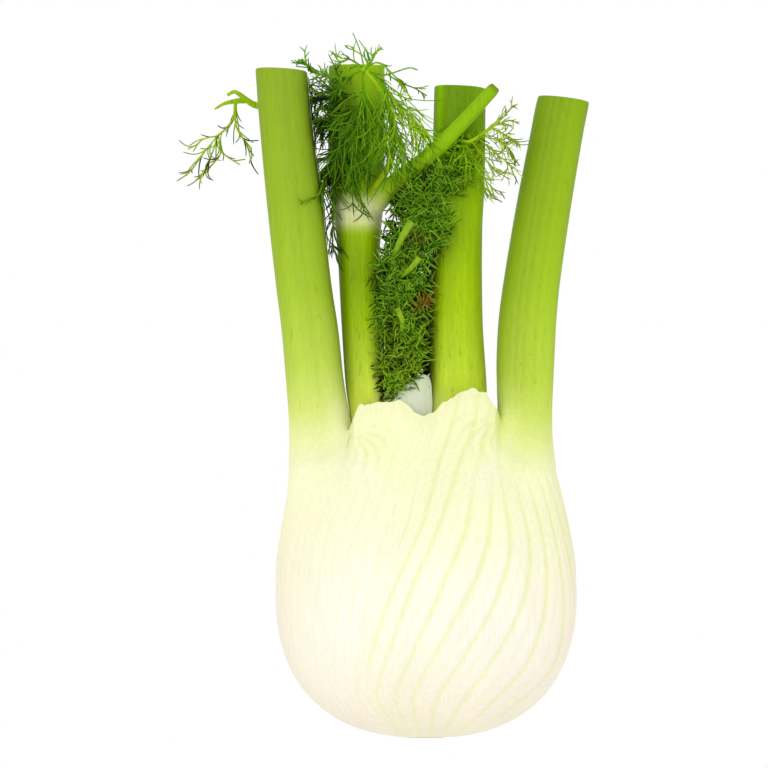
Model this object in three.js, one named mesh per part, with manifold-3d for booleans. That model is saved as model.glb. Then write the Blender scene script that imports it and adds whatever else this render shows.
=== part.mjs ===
// Fennel bulb with cut stalks and feathery leaf, lying on its back.
// Millimetres. +Z is up, away from the surface it lies on. +Y runs from the root to the stalk tips.
// The origin is the middle of the small flat spot that the belly rests on.

import * as THREE from 'three';
import Module from 'manifold-3d';

const wasm = await Module();
wasm.setup();

// Driving dimensions
const BULB_HALF_WIDTH = 50.3;
const BULB_HALF_DEPTH = 33.5;
const BULB_BELOW_ORIGIN = 49.3;
const BELLY_SQUARENESS = 2.4;
const BELLY_CENTRE_Z = 32.7;
const NECK_Y = 57;
const NECK_CENTRE_Z = 28;
const COLLAR_TOP_Y = 72;
const SECTION_SQUARENESS = 2.2;
const GAP = 0.35;
const TUCKED_STEP = 0.5;
const BULB_SIDES = 36;
const BELLY_RINGS = 8;
const INNER_SIDES = 22;
const STALK_SIDES = 16;
const STALK_SQUARENESS = 2.3;
const CUT_CHAMFER = 0.7;

// Above the belly: height up the bulb, middle, half width and half depth of each section
const BULB_UPPER = [
  [0, 0, 50.3, 33.5], [10, -0.1, 49.9, 32.6], [20, -0.2, 48.4, 29.6], [30, -0.4, 46.4, 24.8],
  [40, -1.1, 44.7, 19.4], [50, -1.7, 44, 14.8], [57, -2, 43.7, 13], [68, -2.2, 43, 11],
  [76, -2.2, 42.6, 10.2],
];
// The space inside the two outer leaves, from the root up to the open collar
const CAVITY = [
  [-44.6, 0, 2, 1.4], [-43.4, 0, 12, 8], [-38, 0, 26, 18], [-30, 0, 37, 25], [-20, 0, 42.5, 28],
  [-5, 0, 45.8, 29],
  [10, 0, 45, 28], [20, -0.2, 42, 25.4], [30, -0.5, 35, 21], [40, -1, 28, 16.6], [50, -1.5, 23.4, 12.9],
  [57, -1.8, 22.8, 11.3], [68, -1.8, 22.6, 9.4], [76, -1.8, 22.6, 8.8],
];

// Stalks: height, middle, half width and half depth of each section, then the slope of the cut
const STALKS = {
  left_outer: {
    sections: [
      [20, -30, 16, 20], [36, -31, 15, 15.5], [50, -34.6, 11.1, 11], [58, -35.6, 10.3, 9.2],
      [69, -37, 9.7, 8.5],
      [87, -38.8, 9.5, 8.2], [103, -41, 9.3, 8], [130, -44, 9.3, 8], [157, -47, 8.8, 8],
      [173.6, -48.4, 8.7, 8],
    ],
    base: [58, 28], tip: [173.6, 17], cut: [-0.06, 0.1],
  },
  left_inner: {
    sections: [
      [36, -17, 6, 7], [57, -19.4, 5.8, 6.6], [68, -20.4, 6.4, 6.8], [90, -21.5, 6.8, 6.8],
      [110, -22.4, 7, 7],
      [121, -22.6, 7.7, 7.8], [128, -22.8, 8.6, 8.5], [134, -23.1, 8.9, 8], [145, -23.2, 9.5, 7.8],
      [175.4, -23.2, 9.4, 8],
    ],
    base: [57, 26.5], tip: [175.4, 8], cut: [0, 0.06],
  },
  right_inner: {
    sections: [
      [36, 11, 8, 7.5], [57, 11.8, 8.7, 7.6], [68, 11.6, 8.7, 7.6], [90, 10.8, 8.2, 7.5],
      [120, 10.8, 8.1, 7.4],
      [136, 10.9, 8.8, 7.6], [168, 11.5, 8.6, 7.6],
    ],
    base: [57, 26.5], tip: [168, 12], cut: [-0.05, 0.1],
  },
  right_outer: {
    sections: [
      [20, 30, 17, 20], [36, 30, 14.2, 15.5], [50, 32.2, 10.2, 11], [58, 33, 9.2, 9], [67, 33.1, 9.4, 8.3],
      [77, 33.3, 9.7, 8], [90, 34, 9.7, 7.8], [103, 35.5, 9.5, 7.7], [130, 39.8, 9.2, 7.6],
      [157, 44.8, 8.8, 7.5],
      [164.2, 46.3, 8.6, 7.5],
    ],
    base: [58, 27.5], tip: [164.2, 7.5], cut: [-0.12, 0.1],
  },
};

// Edge of the right outer leaf where it laps over the left one, and its ragged top, seen from the front
const LAP_EDGE = [
  [-4, -54], [-12, -47], [-22, -38], [-24.5, -28], [-23.7, -20], [-20.3, -3.3], [-16, 13.3], [-11.3, 26.7],
  [-7, 43.3], [-0.3, 58.3],
];
const RIGHT_RAGGED_TOP = [
  [2.3, 59.3], [4.7, 62.7], [9.7, 66], [14.7, 67.7], [17.3, 66], [19.3, 66.2], [21.3, 62.7], [23.7, 60],
  [26, 54], [32, 46], [42, 41], [60, 36], [60, -54],
];
// The left leaf runs under the right one, which is cut away from it
const LEFT_OUTLINE = [
  [60, -54], [60, 20], [30, 30], [0, 50], [-0.7, 58], [-4.7, 59.3], [-7, 61.7], [-9.3, 63.3], [-13.7, 62.7],
  [-20.3, 61.7], [-23, 62.3], [-24.7, 53.3], [-28, 48], [-34, 44], [-46, 40], [-60, 36], [-60, -54],
];
const LAP_STEPS = 22;
const LAP_LEAN = 0.5;
const LAP_LEAN_ENDS_Y = 50;
const LAP_LEAN_STARTS_Y = 20;
const SPLIT_X = -4;
const BLOCK_LEVELS_Z = [-8, 12, 26, 38, 50, 62, 82];

// Heart leaf: height, left edge, right edge and middle height above the surface
const HEART = [
  [22, -8, -3, 32], [45, -12.6, -0.4, 32.4], [57, -14, 1.7, 32], [65, -13.9, 1.9, 30.9],
  [67, -13.4, 1.8, 30.6],
  [69, -9.7, 1.6, 30.3], [70.6, -5.2, 1.1, 30], [71.7, -2.6, 0.2, 29.8],
];
const HEART_THICKNESS = 1.6;
const HEART_BOW = 1.8;
const HEART_SIDES = 8;

// Root plate: distance up from the root scar, half width and half depth
const ROOT_PLATE = [[-49.2, 7.6, 5.6], [-48.4, 11, 8], [-47, 12.4, 9.2], [-38, 8.5, 6.5]];

// Slim branch from the node of the left inner stalk, crossing to the right in front
const BRANCH = [[-19, 124, 17], [-16, 130, 20], [-10.3, 136, 22.5], [1.3, 145, 26], [11.3, 155, 27],
  [18, 162.3, 27.5],
  [23.3, 168, 28]];
const BRANCH_RADII = [3.1, 3, 2.9, 2.8, 2.6, 2.3, 2.1];
const BRANCH_STEPS = 14;
const BRANCH_SIDES = 10;

// Feathery leaves. Each sprig is a route, its thickness at both ends, how many threads it carries, how
// long they are, how far they splay and how strongly they hang towards the root.
const DOWN = new THREE.Vector3(0, -1, -0.1);
const FRONDS = {
  large_frond: {
    seed: 11, besideLeftStalk: true,
    petiole: { route: [[-18.5, 131, 25.3], [-12.6, 141.3, 24], [-10.8, 150, 25], [-12.7, 161.7, 26],
      [-17, 170, 26.5],
      [-21.3, 174.3, 26]], thick: [1.3, 0.9] },
    sprigs: [
      { route: [[-20.5, 173.6, 26], [-18, 176.7, 28], [-17.6, 178.6, 29], [-14.7, 181, 29]],
        thick: [0.8, 0.6],
        threads: 3, reach: 6, splay: 1.0, hang: -0.5 },
      { route: [[-20.5, 173.6, 26], [-15, 172, 27], [-12, 172.3, 27], [-5.7, 174.3, 26], [-2.7, 173.6, 25]],
        thick: [0.6, 0.4], threads: 0, reach: 0, splay: 0, hang: 0 },
      { route: [[-13, 172.2, 27], [-8.3, 169.3, 26], [-3.7, 167.5, 25.5], [0.3, 165, 25]],
        thick: [0.5, 0.4],
        threads: 2, reach: 9, splay: 0.4, hang: 0.4 },
      { route: [[-20.5, 173.6, 26], [-15, 170, 29], [-12, 165, 30], [-7, 160, 29.5], [-2, 154, 29],
        [1, 150.5, 29]],
        thick: [0.8, 0.45], threads: 26, reach: 12, splay: 0.7, hang: 0.9 },
      { route: [[-21.3, 174, 26.2], [-21, 165.5, 27.6], [-20.7, 156.7, 29], [-21, 148.3, 29],
        [-19, 142, 28]],
        thick: [0.9, 0.5], threads: 20, reach: 11, splay: 0.6, hang: 0.9 },
      { route: [[-21, 168, 27.2], [-17, 160, 30], [-13.9, 153.3, 31], [-13, 146, 30.5]], thick: [0.7, 0.45],
        threads: 18, reach: 11, splay: 0.5, hang: 0.9 },
      { route: [[-16, 170.6, 28.6], [-11.3, 158, 31], [-8.7, 149, 30.5], [-7, 144, 29.5]],
        thick: [0.7, 0.45],
        threads: 22, reach: 11, splay: 0.5, hang: 0.9 },
      { route: [[-21, 165.5, 27.6], [-24, 157, 28], [-27, 150, 27], [-31.6, 143, 24], [-34.6, 137, 23.5]],
        thick: [0.8, 0.45], threads: 26, reach: 11, splay: 0.8, hang: 0.7 },
      { route: [[-21, 163, 27.8], [-27, 158, 26], [-32, 157, 23.5], [-35.8, 155, 20]], thick: [0.6, 0.4],
        threads: 24, reach: 8, splay: 0.9, hang: 0.6 },
      { route: [[-21, 165.5, 27.6], [-27, 165, 26], [-33, 164.6, 23], [-37, 163.6, 20.5]],
        thick: [0.6, 0.4],
        threads: 20, reach: 8, splay: 0.8, hang: 0.2 },
      { route: [[-21.3, 173.6, 26.2], [-27, 171, 24], [-33, 171.6, 21], [-37.6, 173.6, 20],
        [-41.6, 177.6, 20]],
        thick: [0.7, 0.5], threads: 16, reach: 8, splay: 0.6, hang: -0.3 },
      { route: [[-21.3, 173.6, 26.2], [-24, 176, 26], [-27, 177, 25], [-30, 174.6, 24]], thick: [0.5, 0.4],
        threads: 10, reach: 9, splay: 1.1, hang: -0.5 },
      { route: [[-30.6, 144.6, 24.8], [-30.6, 135, 24.6], [-31, 124, 24.6], [-31.3, 114, 24]],
        thick: [0.5, 0.4],
        threads: 12, reach: 8, splay: 0.35, hang: 1.2 },
      { route: [[-33.9, 138.4, 23.8], [-35.5, 132.6, 28], [-38, 131.2, 30.6], [-42, 129.4, 31]],
        thick: [0.45, 0.4],
        threads: 3, reach: 5, splay: 0.5, hang: 0.6, inFront: true },
      { route: [[-25.5, 153.6, 27.6], [-25, 145, 27], [-24.3, 136, 27.6], [-22.7, 130, 27.2]],
        thick: [0.5, 0.4],
        threads: 9, reach: 9, splay: 0.55, hang: 1 },
    ],
  },
  right_frond: {
    seed: 23,
    petiole: { route: [[-13, 127.4, 22], [-8, 131, 23], [0, 135.6, 25.6], [6.3, 139.3, 26.6],
      [14.7, 146, 27],
      [20.7, 153, 26], [24, 158, 25]], thick: [1.1, 0.6] },
    sprigs: [
      { route: [[23, 156.4, 25.4], [26, 161, 25], [29, 163, 24], [31, 165.5, 23.6]], thick: [0.5, 0.4],
        threads: 8, reach: 6, splay: 0.7, hang: 0 },
      { route: [[20, 152, 26.2], [25, 153.6, 25], [29, 151.6, 24.4], [32.6, 149, 24]], thick: [0.5, 0.4],
        threads: 14, reach: 6, splay: 0.8, hang: 0.4 },
      { route: [[19, 150.8, 26.3], [24, 147, 25], [28.3, 143, 24.4], [31, 138.6, 24]], thick: [0.5, 0.4],
        threads: 14, reach: 6, splay: 0.8, hang: 0.5 },
      { route: [[16, 147.2, 26.8], [20, 141.6, 26], [22, 136.6, 25.6], [22.6, 132, 25]], thick: [0.5, 0.4],
        threads: 12, reach: 6, splay: 0.6, hang: 0.8 },
      { route: [[13, 144.4, 26.9], [15.6, 139.6, 27.4], [16, 135.6, 27.2]], thick: [0.5, 0.4],
        threads: 12, reach: 6, splay: 0.9, hang: 0.6 },
      { route: [[9, 141.4, 26.8], [10.6, 138, 28], [11, 134.6, 27.6]], thick: [0.5, 0.4],
        threads: 12, reach: 6, splay: 0.9, hang: 0.6 },
      { route: [[3.4, 137.6, 26.2], [5, 135, 28], [5.4, 132.6, 27.6]], thick: [0.5, 0.4],
        threads: 12, reach: 6, splay: 0.9, hang: 0.4 },
      { route: [[8, 140.6, 26.8], [8.4, 145, 28.2], [12, 148, 30]], thick: [0.45, 0.4],
        threads: 8, reach: 5, splay: 0.9, hang: 0 },
    ],
  },
  young_frond: {
    seed: 37,
    petiole: { route: [[-9.6, 56, 23.6], [-10.4, 66, 25.6], [-9.3, 76.7, 28], [-7.3, 86.7, 29],
      [-6, 96.7, 29.4],
      [-7.3, 106.7, 30], [-5.3, 116.7, 30.4], [-2.7, 123, 30], [-1, 128, 30.4]], thick: [2.2, 1] },
    sprigs: [
      { route: [[-9.9, 71, 27.2], [-12.6, 74, 30], [-14.6, 75, 31]], reach: 4.6, threads: 12 },
      { route: [[-9.8, 73, 27.4], [-6, 75, 31], [-3.4, 75.6, 32]], reach: 4.6, threads: 14 },
      { route: [[-9, 78, 28.2], [-5, 80, 32], [-1.6, 81, 32]], reach: 5, threads: 14 },
      { route: [[-9, 78, 28.2], [-12, 82, 31.4], [-14, 84, 32]], reach: 5, threads: 14 },
      { route: [[-8, 83, 28.7], [-3.6, 88, 32.4], [0.6, 89.6, 31.6]], reach: 5, threads: 14 },
      { route: [[-7.3, 87, 29], [-12, 91, 32], [-15.6, 93, 31.8]], reach: 5, threads: 16 },
      { route: [[-6.4, 93, 29.3], [-11.6, 99, 32.6], [-16, 99.6, 32]], reach: 5, threads: 16 },
      { route: [[-6, 97, 29.4], [-2, 101, 33], [0.6, 103.6, 33.4]], reach: 5, threads: 12 },
      { route: [[-6.8, 102, 29.8], [-11, 107, 32.6], [-14.4, 108, 32]], reach: 5, threads: 14 },
      { route: [[-7, 107, 30], [-2.6, 109.6, 33.6], [2.6, 110, 34]], reach: 5, threads: 14 },
      { route: [[-6.4, 112, 30.2], [-0.6, 114.6, 34], [5, 115.6, 33.8]], reach: 5, threads: 16 },
      { route: [[-5.6, 116, 30.4], [-9, 118.6, 33], [-11.6, 121, 32.6]], reach: 5, threads: 12 },
      { route: [[-4.4, 119, 30.3], [1.6, 119.6, 34.6], [7, 121, 33.6]], reach: 5, threads: 18 },
      { route: [[-3, 122.6, 30], [1, 124.6, 33.6], [4.6, 126, 33.4]], reach: 4.4, threads: 14 },
      { route: [[-3, 122.6, 30], [-5, 124.6, 33], [-6, 126.4, 33]], reach: 4.2, threads: 12 },
      { route: [[-1.6, 126, 30.2], [1.6, 129.6, 33.4], [4.6, 132, 34]], reach: 4, threads: 10 },
      { route: [[-4, 120.5, 30.3], [2, 123, 35], [7.6, 123.6, 35.4]], reach: 4, threads: 12 },
      { route: [[-3, 123, 30], [3, 127, 34.6], [7.4, 128.6, 35]], reach: 4, threads: 12 },
      { route: [[-1.6, 126, 30.2], [-5, 129.4, 32.6], [-8, 131, 32.4]], reach: 4, threads: 8 },
    ],
  },
  small_frond: {
    seed: 53,
    petiole: { route: [[-47, 160.6, 5.6], [-56, 162.4, 6.4], [-61, 164, 8], [-64.4, 164.4, 9],
      [-66.6, 166.6, 10]],
      thick: [2, 0.9] },
    sprigs: [
      { route: [[-61.6, 163.8, 8.2], [-65, 162.6, 9], [-68, 161.6, 9], [-70.8, 160.4, 8.6]],
        thick: [1.3, 0.5],
        threads: 0, reach: 0, splay: 0, hang: 0 },
      { route: [[-64, 163, 8.7], [-64.6, 158, 8], [-67, 154.6, 7], [-70.6, 151.6, 6]], thick: [0.8, 0.6],
        threads: 5, reach: 6, splay: 0.8, hang: 0.4 },
      { route: [[-70.2, 152, 6.1], [-74.6, 151, 5.4], [-77.6, 148.6, 4.6], [-82, 147, 4]],
        thick: [0.5, 0.4],
        threads: 4, reach: 5, splay: 0.5, hang: 0.3 },
      { route: [[-70, 152, 6.1], [-74, 147, 5.6], [-78, 141.6, 4.6], [-80.6, 138.6, 4]], thick: [0.5, 0.4],
        threads: 8, reach: 7, splay: 0.4, hang: 0.5 },
      { route: [[-70, 152, 6.1], [-71.6, 146.6, 6.4], [-74, 141, 5.4], [-76, 137.4, 4.6]],
        thick: [0.5, 0.4],
        threads: 10, reach: 6, splay: 0.5, hang: 0.5 },
      { route: [[-69.6, 152.2, 6.2], [-69, 146, 5.6], [-71.6, 142.6, 5], [-74, 139.6, 4.4]],
        thick: [0.5, 0.4],
        threads: 6, reach: 5, splay: 0.6, hang: 0.4 },
      { route: [[-63.6, 163.2, 8.7], [-63.8, 156, 8], [-61.6, 151.6, 7], [-58.4, 147.6, 6]],
        thick: [0.7, 0.45],
        threads: 8, reach: 6, splay: 0.5, hang: 0.5 },
      { route: [[-61.8, 152, 7.1], [-59.6, 147.6, 6], [-58.6, 143, 5]], thick: [0.5, 0.4],
        threads: 4, reach: 5, splay: 0.4, hang: 0.5 },
      { route: [[-69.8, 150.2, 6.4], [-69.4, 147.6, 6.4], [-65, 144, 6], [-60.6, 144.2, 5]],
        thick: [0.45, 0.4],
        threads: 2, reach: 4, splay: 0.5, hang: 0.4 },
    ],
  },
};
const YOUNG_SPRIG = { thick: [0.8, 0.5], splay: 1.1, hang: 0.2 };
const THREAD_RADIUS = 0.46;
const THREAD_CURL = 0.7;
const THREAD_SAG = 0.6;
const THREAD_STEPS = 2;
// Share of the threads that are made: fewer than on the plant, at their true thickness
const THREAD_SHARE = 0.34;
const THREAD_CLEARANCE = 0.8;
const STALK_MARGIN = 0.6;

// Smooth values down a column of a table whose rows start with the height
function valueAt(table, y, column) {
  const last = table.length - 1;
  if (y <= table[0][0]) return table[0][column];
  if (y >= table[last][0]) return table[last][column];
  let i = 0;
  while (y > table[i + 1][0]) i += 1;
  const slope = (k) => {
    const low = Math.max(k - 1, 0);
    const high = Math.min(k + 1, last);
    return (table[high][column] - table[low][column]) / (table[high][0] - table[low][0]);
  };
  const span = table[i + 1][0] - table[i][0];
  const t = (y - table[i][0]) / span;
  const start = table[i][column] * (1 + 2 * t) * (1 - t) ** 2;
  const end = table[i + 1][column] * t * t * (3 - 2 * t);
  return start + end + span * (slope(i) * t * (1 - t) ** 2 - slope(i + 1) * t * t * (1 - t));
}

function sectionCentreZ(y) {
  if (y < 0) return BELLY_CENTRE_Z;
  return BELLY_CENTRE_Z + (NECK_CENTRE_Z - BELLY_CENTRE_Z) * (y / NECK_Y) ** 1.4;
}

function squircle(angle, squareness) {
  const c = Math.cos(angle);
  const s = Math.sin(angle);
  return [
    Math.sign(c) * Math.abs(c) ** (2 / squareness),
    Math.sign(s) * Math.abs(s) ** (2 / squareness),
  ];
}

// A closed body through rings of points, with a fan at each end
function loft(rings) {
  const sides = rings[0].length;
  const positions = [];
  const index = [];
  for (const ring of rings) for (const p of ring) positions.push(p.x, p.y, p.z);
  for (let r = 0; r < rings.length - 1; r += 1) {
    for (let s = 0; s < sides; s += 1) {
      const a = r * sides + s;
      const b = r * sides + ((s + 1) % sides);
      index.push(a, b, b + sides, a, b + sides, a + sides);
    }
  }
  for (const [r, flip] of [[0, true], [rings.length - 1, false]]) {
    const middle = rings[r].reduce((sum, p) => sum.add(p), new THREE.Vector3()).divideScalar(sides);
    const hub = positions.length / 3;
    positions.push(middle.x, middle.y, middle.z);
    for (let s = 0; s < sides; s += 1) {
      const a = r * sides + s;
      const b = r * sides + ((s + 1) % sides);
      index.push(...(flip ? [hub, b, a] : [hub, a, b]));
    }
  }
  const geometry = new THREE.BufferGeometry();
  geometry.setAttribute('position', new THREE.Float32BufferAttribute(positions, 3));
  geometry.setIndex(index);
  return geometry;
}

// A manifold solid from a closed geometry with shared vertices, its faces turned outwards
function solid(geometry) {
  const vertices = geometry.attributes.position.array;
  const triangles = Uint32Array.from(geometry.index.array);
  let volume = 0;
  const corner = (k) => new THREE.Vector3().fromArray(vertices, triangles[k] * 3);
  for (let k = 0; k < triangles.length; k += 3) {
    volume += corner(k).dot(corner(k + 1).cross(corner(k + 2)));
  }
  if (volume < 0) {
    for (let k = 0; k < triangles.length; k += 3) {
      [triangles[k + 1], triangles[k + 2]] = [triangles[k + 2], triangles[k + 1]];
    }
  }
  const mesh = new wasm.Mesh({ numProp: 3, vertProperties: Float32Array.from(vertices),
    triVerts: triangles });
  return new wasm.Manifold(mesh);
}

// The largest body of a solid: loose scraps left by a cut are dropped
function largest(body) {
  const pieces = body.decompose();
  return pieces.reduce((best, piece) => (piece.volume() > best.volume() ? piece : best));
}

function bulbSection(y, grow) {
  if (y >= 0) {
    return [valueAt(BULB_UPPER, y, 1), valueAt(BULB_UPPER, y, 2) + grow, valueAt(BULB_UPPER, y, 3) + grow];
  }
  const reach = Math.min(-y / (BULB_BELOW_ORIGIN + grow), 1);
  const narrowing = (1 - reach ** BELLY_SQUARENESS) ** (1 / BELLY_SQUARENESS);
  return [0, (BULB_HALF_WIDTH + grow) * narrowing, (BULB_HALF_DEPTH + grow) * narrowing];
}

function ringAt(y, x, halfWidth, halfDepth, sides, squareness) {
  const z = sectionCentreZ(y);
  const ring = [];
  for (let s = 0; s < sides; s += 1) {
    const [c, d] = squircle((s / sides) * 2 * Math.PI, squareness);
    ring.push(new THREE.Vector3(x + halfWidth * c, y, z + halfDepth * d));
  }
  return ring;
}

function bulbSolid(grow) {
  const rings = [];
  for (let i = 0; i < BELLY_RINGS; i += 1) {
    const angle = (Math.PI / 2) * (1 - (i + 0.35) / BELLY_RINGS);
    const y = -(BULB_BELOW_ORIGIN + grow) * Math.sin(angle) ** (2 / BELLY_SQUARENESS);
    rings.push(ringAt(y, ...bulbSection(y, grow), BULB_SIDES, SECTION_SQUARENESS));
  }
  for (let y = 0; y <= COLLAR_TOP_Y; y += 8) {
    rings.push(ringAt(y, ...bulbSection(y, grow), BULB_SIDES, SECTION_SQUARENESS));
  }
  return solid(loft(rings));
}

function cavitySolid(shrink, topY) {
  const rings = [];
  for (const y of [-44.6, -43.4, -38, -30, -20, -8, 6, 18, 28, 38, 50, 57, 66, 76]) {
    if (y > topY) break;
    const [x, width, depth] = [1, 2, 3].map((column) => valueAt(CAVITY, y, column));
    const inside = Math.min(shrink, depth / 2);
    const height = y + (y < -44 ? shrink : 0);
    rings.push(ringAt(height, x, width - inside, depth - inside, INNER_SIDES, SECTION_SQUARENESS));
  }
  return solid(loft(rings));
}

function stalkCentreZ(stalk, y) {
  const t = (y - stalk.base[0]) / (stalk.tip[0] - stalk.base[0]);
  return stalk.base[1] + (stalk.tip[1] - stalk.base[1]) * Math.max(t, -0.15);
}

function stalkSolid(stalk, grow) {
  const heights = stalk.sections.map((section) => section[0]);
  const end = heights[heights.length - 1];
  const rings = [];
  const stops = [...heights.slice(0, -1), end - CUT_CHAMFER, end + grow];
  for (const y of stops) {
    const [x, width, depth] = [1, 2, 3].map((column) => valueAt(stalk.sections, y, column));
    const trim = y > end - CUT_CHAMFER / 2 ? CUT_CHAMFER / 2 : 0;
    const lean = y > end - 2 * CUT_CHAMFER ? 1 : 0;
    const z = stalkCentreZ(stalk, y);
    const ring = [];
    for (let s = 0; s < STALK_SIDES; s += 1) {
      const [c, d] = squircle(((s + 0.5) / STALK_SIDES) * 2 * Math.PI, STALK_SQUARENESS);
      const dx = (width + grow - trim) * c;
      const dz = (depth + grow - trim) * d;
      const height = y + lean * (stalk.cut[0] * dx + stalk.cut[1] * dz);
      ring.push(new THREE.Vector3(x + dx, height, Math.max(z + dz, 0)));
    }
    rings.push(ring);
  }
  return solid(loft(rings));
}

// A tall block over an outline seen from the front. Its sides lean across towards the back.
function outlineBlock(outline, shiftX) {
  const leanAt = (y) => LAP_LEAN * (1 - THREE.MathUtils.smoothstep(y, LAP_LEAN_STARTS_Y, LAP_LEAN_ENDS_Y));
  const contour = outline.map(([x, y]) => new THREE.Vector2(x, y));
  if (THREE.ShapeUtils.isClockWise(contour)) contour.reverse();
  const sides = contour.length;
  const positions = [];
  const index = [];
  for (const z of BLOCK_LEVELS_Z) {
    for (const p of contour) {
      const front = sectionCentreZ(p.y) + bulbSection(p.y, 0)[2];
      positions.push(p.x + shiftX + leanAt(p.y) * (front - z), p.y, z);
    }
  }
  for (let level = 0; level < BLOCK_LEVELS_Z.length - 1; level += 1) {
    for (let s = 0; s < sides; s += 1) {
      const a = level * sides + s;
      const b = level * sides + ((s + 1) % sides);
      index.push(a, b, b + sides, a, b + sides, a + sides);
    }
  }
  const top = (BLOCK_LEVELS_Z.length - 1) * sides;
  for (const [a, b, c] of THREE.ShapeUtils.triangulateShape(contour, [])) {
    index.push(c, b, a, a + top, b + top, c + top);
  }
  const geometry = new THREE.BufferGeometry();
  geometry.setAttribute('position', new THREE.Float32BufferAttribute(positions, 3));
  geometry.setIndex(index);
  return solid(geometry);
}

function rootPlateSolid(grow) {
  const rings = ROOT_PLATE.map(([y, width, depth], i) => {
    const end = i === 0 ? -grow : 0;
    const top = i === ROOT_PLATE.length - 1 ? grow : 0;
    return ringAt(y + end + top, 0, width + grow, depth + grow, INNER_SIDES, 2);
  });
  return solid(loft(rings));
}

function heartSolid(grow) {
  const across = HEART_SIDES;
  const rings = HEART.map(([y, left, right, z], i) => {
    const end = i === 0 ? -grow : i === HEART.length - 1 ? grow : 0;
    const middle = (left + right) / 2;
    const half = (right - left) / 2 + grow;
    const ring = [];
    for (const face of [1, -1]) {
      for (let k = 0; k < across; k += 1) {
        const u = face * ((2 * (k + 0.5)) / across - 1);
        const thickness = face * (HEART_THICKNESS / 2 + grow) * Math.sqrt(1 - 0.8 * u * u);
        ring.push(new THREE.Vector3(middle + half * u, y + end, z + HEART_BOW * (0.4 - u * u) + thickness));
      }
    }
    return ring;
  });
  return solid(loft(rings));
}

// A tube of flat sides along points, each with its radius. A radius of 0 at the end makes a point.
function tube(points, radii, sides) {
  const positions = [];
  const index = [];
  const last = points.length - 1;
  const pointed = radii[last] === 0;
  let side = null;
  for (let i = 0; i <= last; i += 1) {
    const ahead = points[Math.min(i + 1, last)].clone().sub(points[Math.max(i - 1, 0)]).normalize();
    if (side === null) {
      side = Math.abs(ahead.z) < 0.9 ? new THREE.Vector3(0, 0, 1) : new THREE.Vector3(1, 0, 0);
    }
    side = side.clone().addScaledVector(ahead, -side.dot(ahead)).normalize();
    const other = ahead.clone().cross(side);
    if (i === last && pointed) {
      positions.push(...points[i].toArray());
      break;
    }
    for (let s = 0; s < sides; s += 1) {
      const angle = (s / sides) * 2 * Math.PI;
      const p = points[i].clone();
      p.addScaledVector(side, radii[i] * Math.cos(angle)).addScaledVector(other,
        radii[i] * Math.sin(angle));
      positions.push(...p.toArray());
    }
  }
  const bands = pointed ? last - 1 : last;
  for (let i = 0; i < bands; i += 1) {
    for (let s = 0; s < sides; s += 1) {
      const a = i * sides + s;
      const b = i * sides + ((s + 1) % sides);
      index.push(a, b, b + sides, a, b + sides, a + sides);
    }
  }
  for (let s = 1; s < sides - 1; s += 1) index.push(0, s + 1, s);
  const rim = bands * sides;
  if (pointed) {
    for (let s = 0; s < sides; s += 1) index.push(rim + s, rim + ((s + 1) % sides), rim + sides);
  } else {
    for (let s = 1; s < sides - 1; s += 1) index.push(rim, rim + s, rim + s + 1);
  }
  const geometry = new THREE.BufferGeometry();
  geometry.setAttribute('position', new THREE.Float32BufferAttribute(positions, 3));
  geometry.setIndex(index);
  return solid(geometry);
}

// A repeatable stream of numbers from 0 to 1
function seededRandom(seed) {
  let state = seed >>> 0;
  return () => {
    state = (state + 0x6d2b79f5) >>> 0;
    let t = state;
    t = Math.imul(t ^ (t >>> 15), t | 1);
    t ^= t + Math.imul(t ^ (t >>> 7), t | 61);
    return ((t ^ (t >>> 14)) >>> 0) / 4294967296;
  };
}

// Height of the top of the stalks over a place, or the surface that the part lies on
function stalkTopAt(x, y) {
  let top = 0;
  for (const stalk of [STALKS.left_inner, STALKS.right_inner, STALKS.left_outer, STALKS.right_outer]) {
    const end = stalk.sections[stalk.sections.length - 1][0];
    if (y > end + 1) continue;
    const [middle, width, depth] = [1, 2, 3].map((column) => valueAt(stalk.sections, y, column));
    const across = Math.abs(x - middle) / (width + STALK_MARGIN);
    if (across >= 1) continue;
    top = Math.max(top, stalkCentreZ(stalk, y) + (depth + STALK_MARGIN) * Math.sqrt(1 - across * across));
  }
  return top;
}

// Threads stay above the stalks they drape over, and above the surface. Those of the large leaf stop at
// the side of the left outer stalk, unless they hang in front of it.
function clearOfStalks(point, besideLeftStalk) {
  const { sections } = STALKS.left_outer;
  if (besideLeftStalk && point.y < sections[sections.length - 1][0] + 1) {
    const edge = valueAt(sections, point.y, 1) + valueAt(sections, point.y, 2);
    point.x = Math.max(point.x, edge + THREAD_CLEARANCE);
  }
  point.z = Math.max(point.z, stalkTopAt(point.x, point.y) + THREAD_CLEARANCE);
  return point;
}

function threadSolid(root, ahead, reach, hang, random, besideLeftStalk, radius) {
  const points = [root];
  const direction = ahead.clone();
  const curl = new THREE.Vector3(random() - 0.5, random() - 0.5, random() - 0.5);
  for (let i = 1; i <= THREAD_STEPS; i += 1) {
    direction.addScaledVector(DOWN, (hang * THREAD_SAG) / THREAD_STEPS);
    direction.addScaledVector(curl, THREAD_CURL / THREAD_STEPS).normalize();
    const next = points[i - 1].clone().addScaledVector(direction, reach / THREAD_STEPS);
    points.push(clearOfStalks(next, besideLeftStalk));
  }
  return tube(points, [radius, radius, 0], 3);
}

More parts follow.
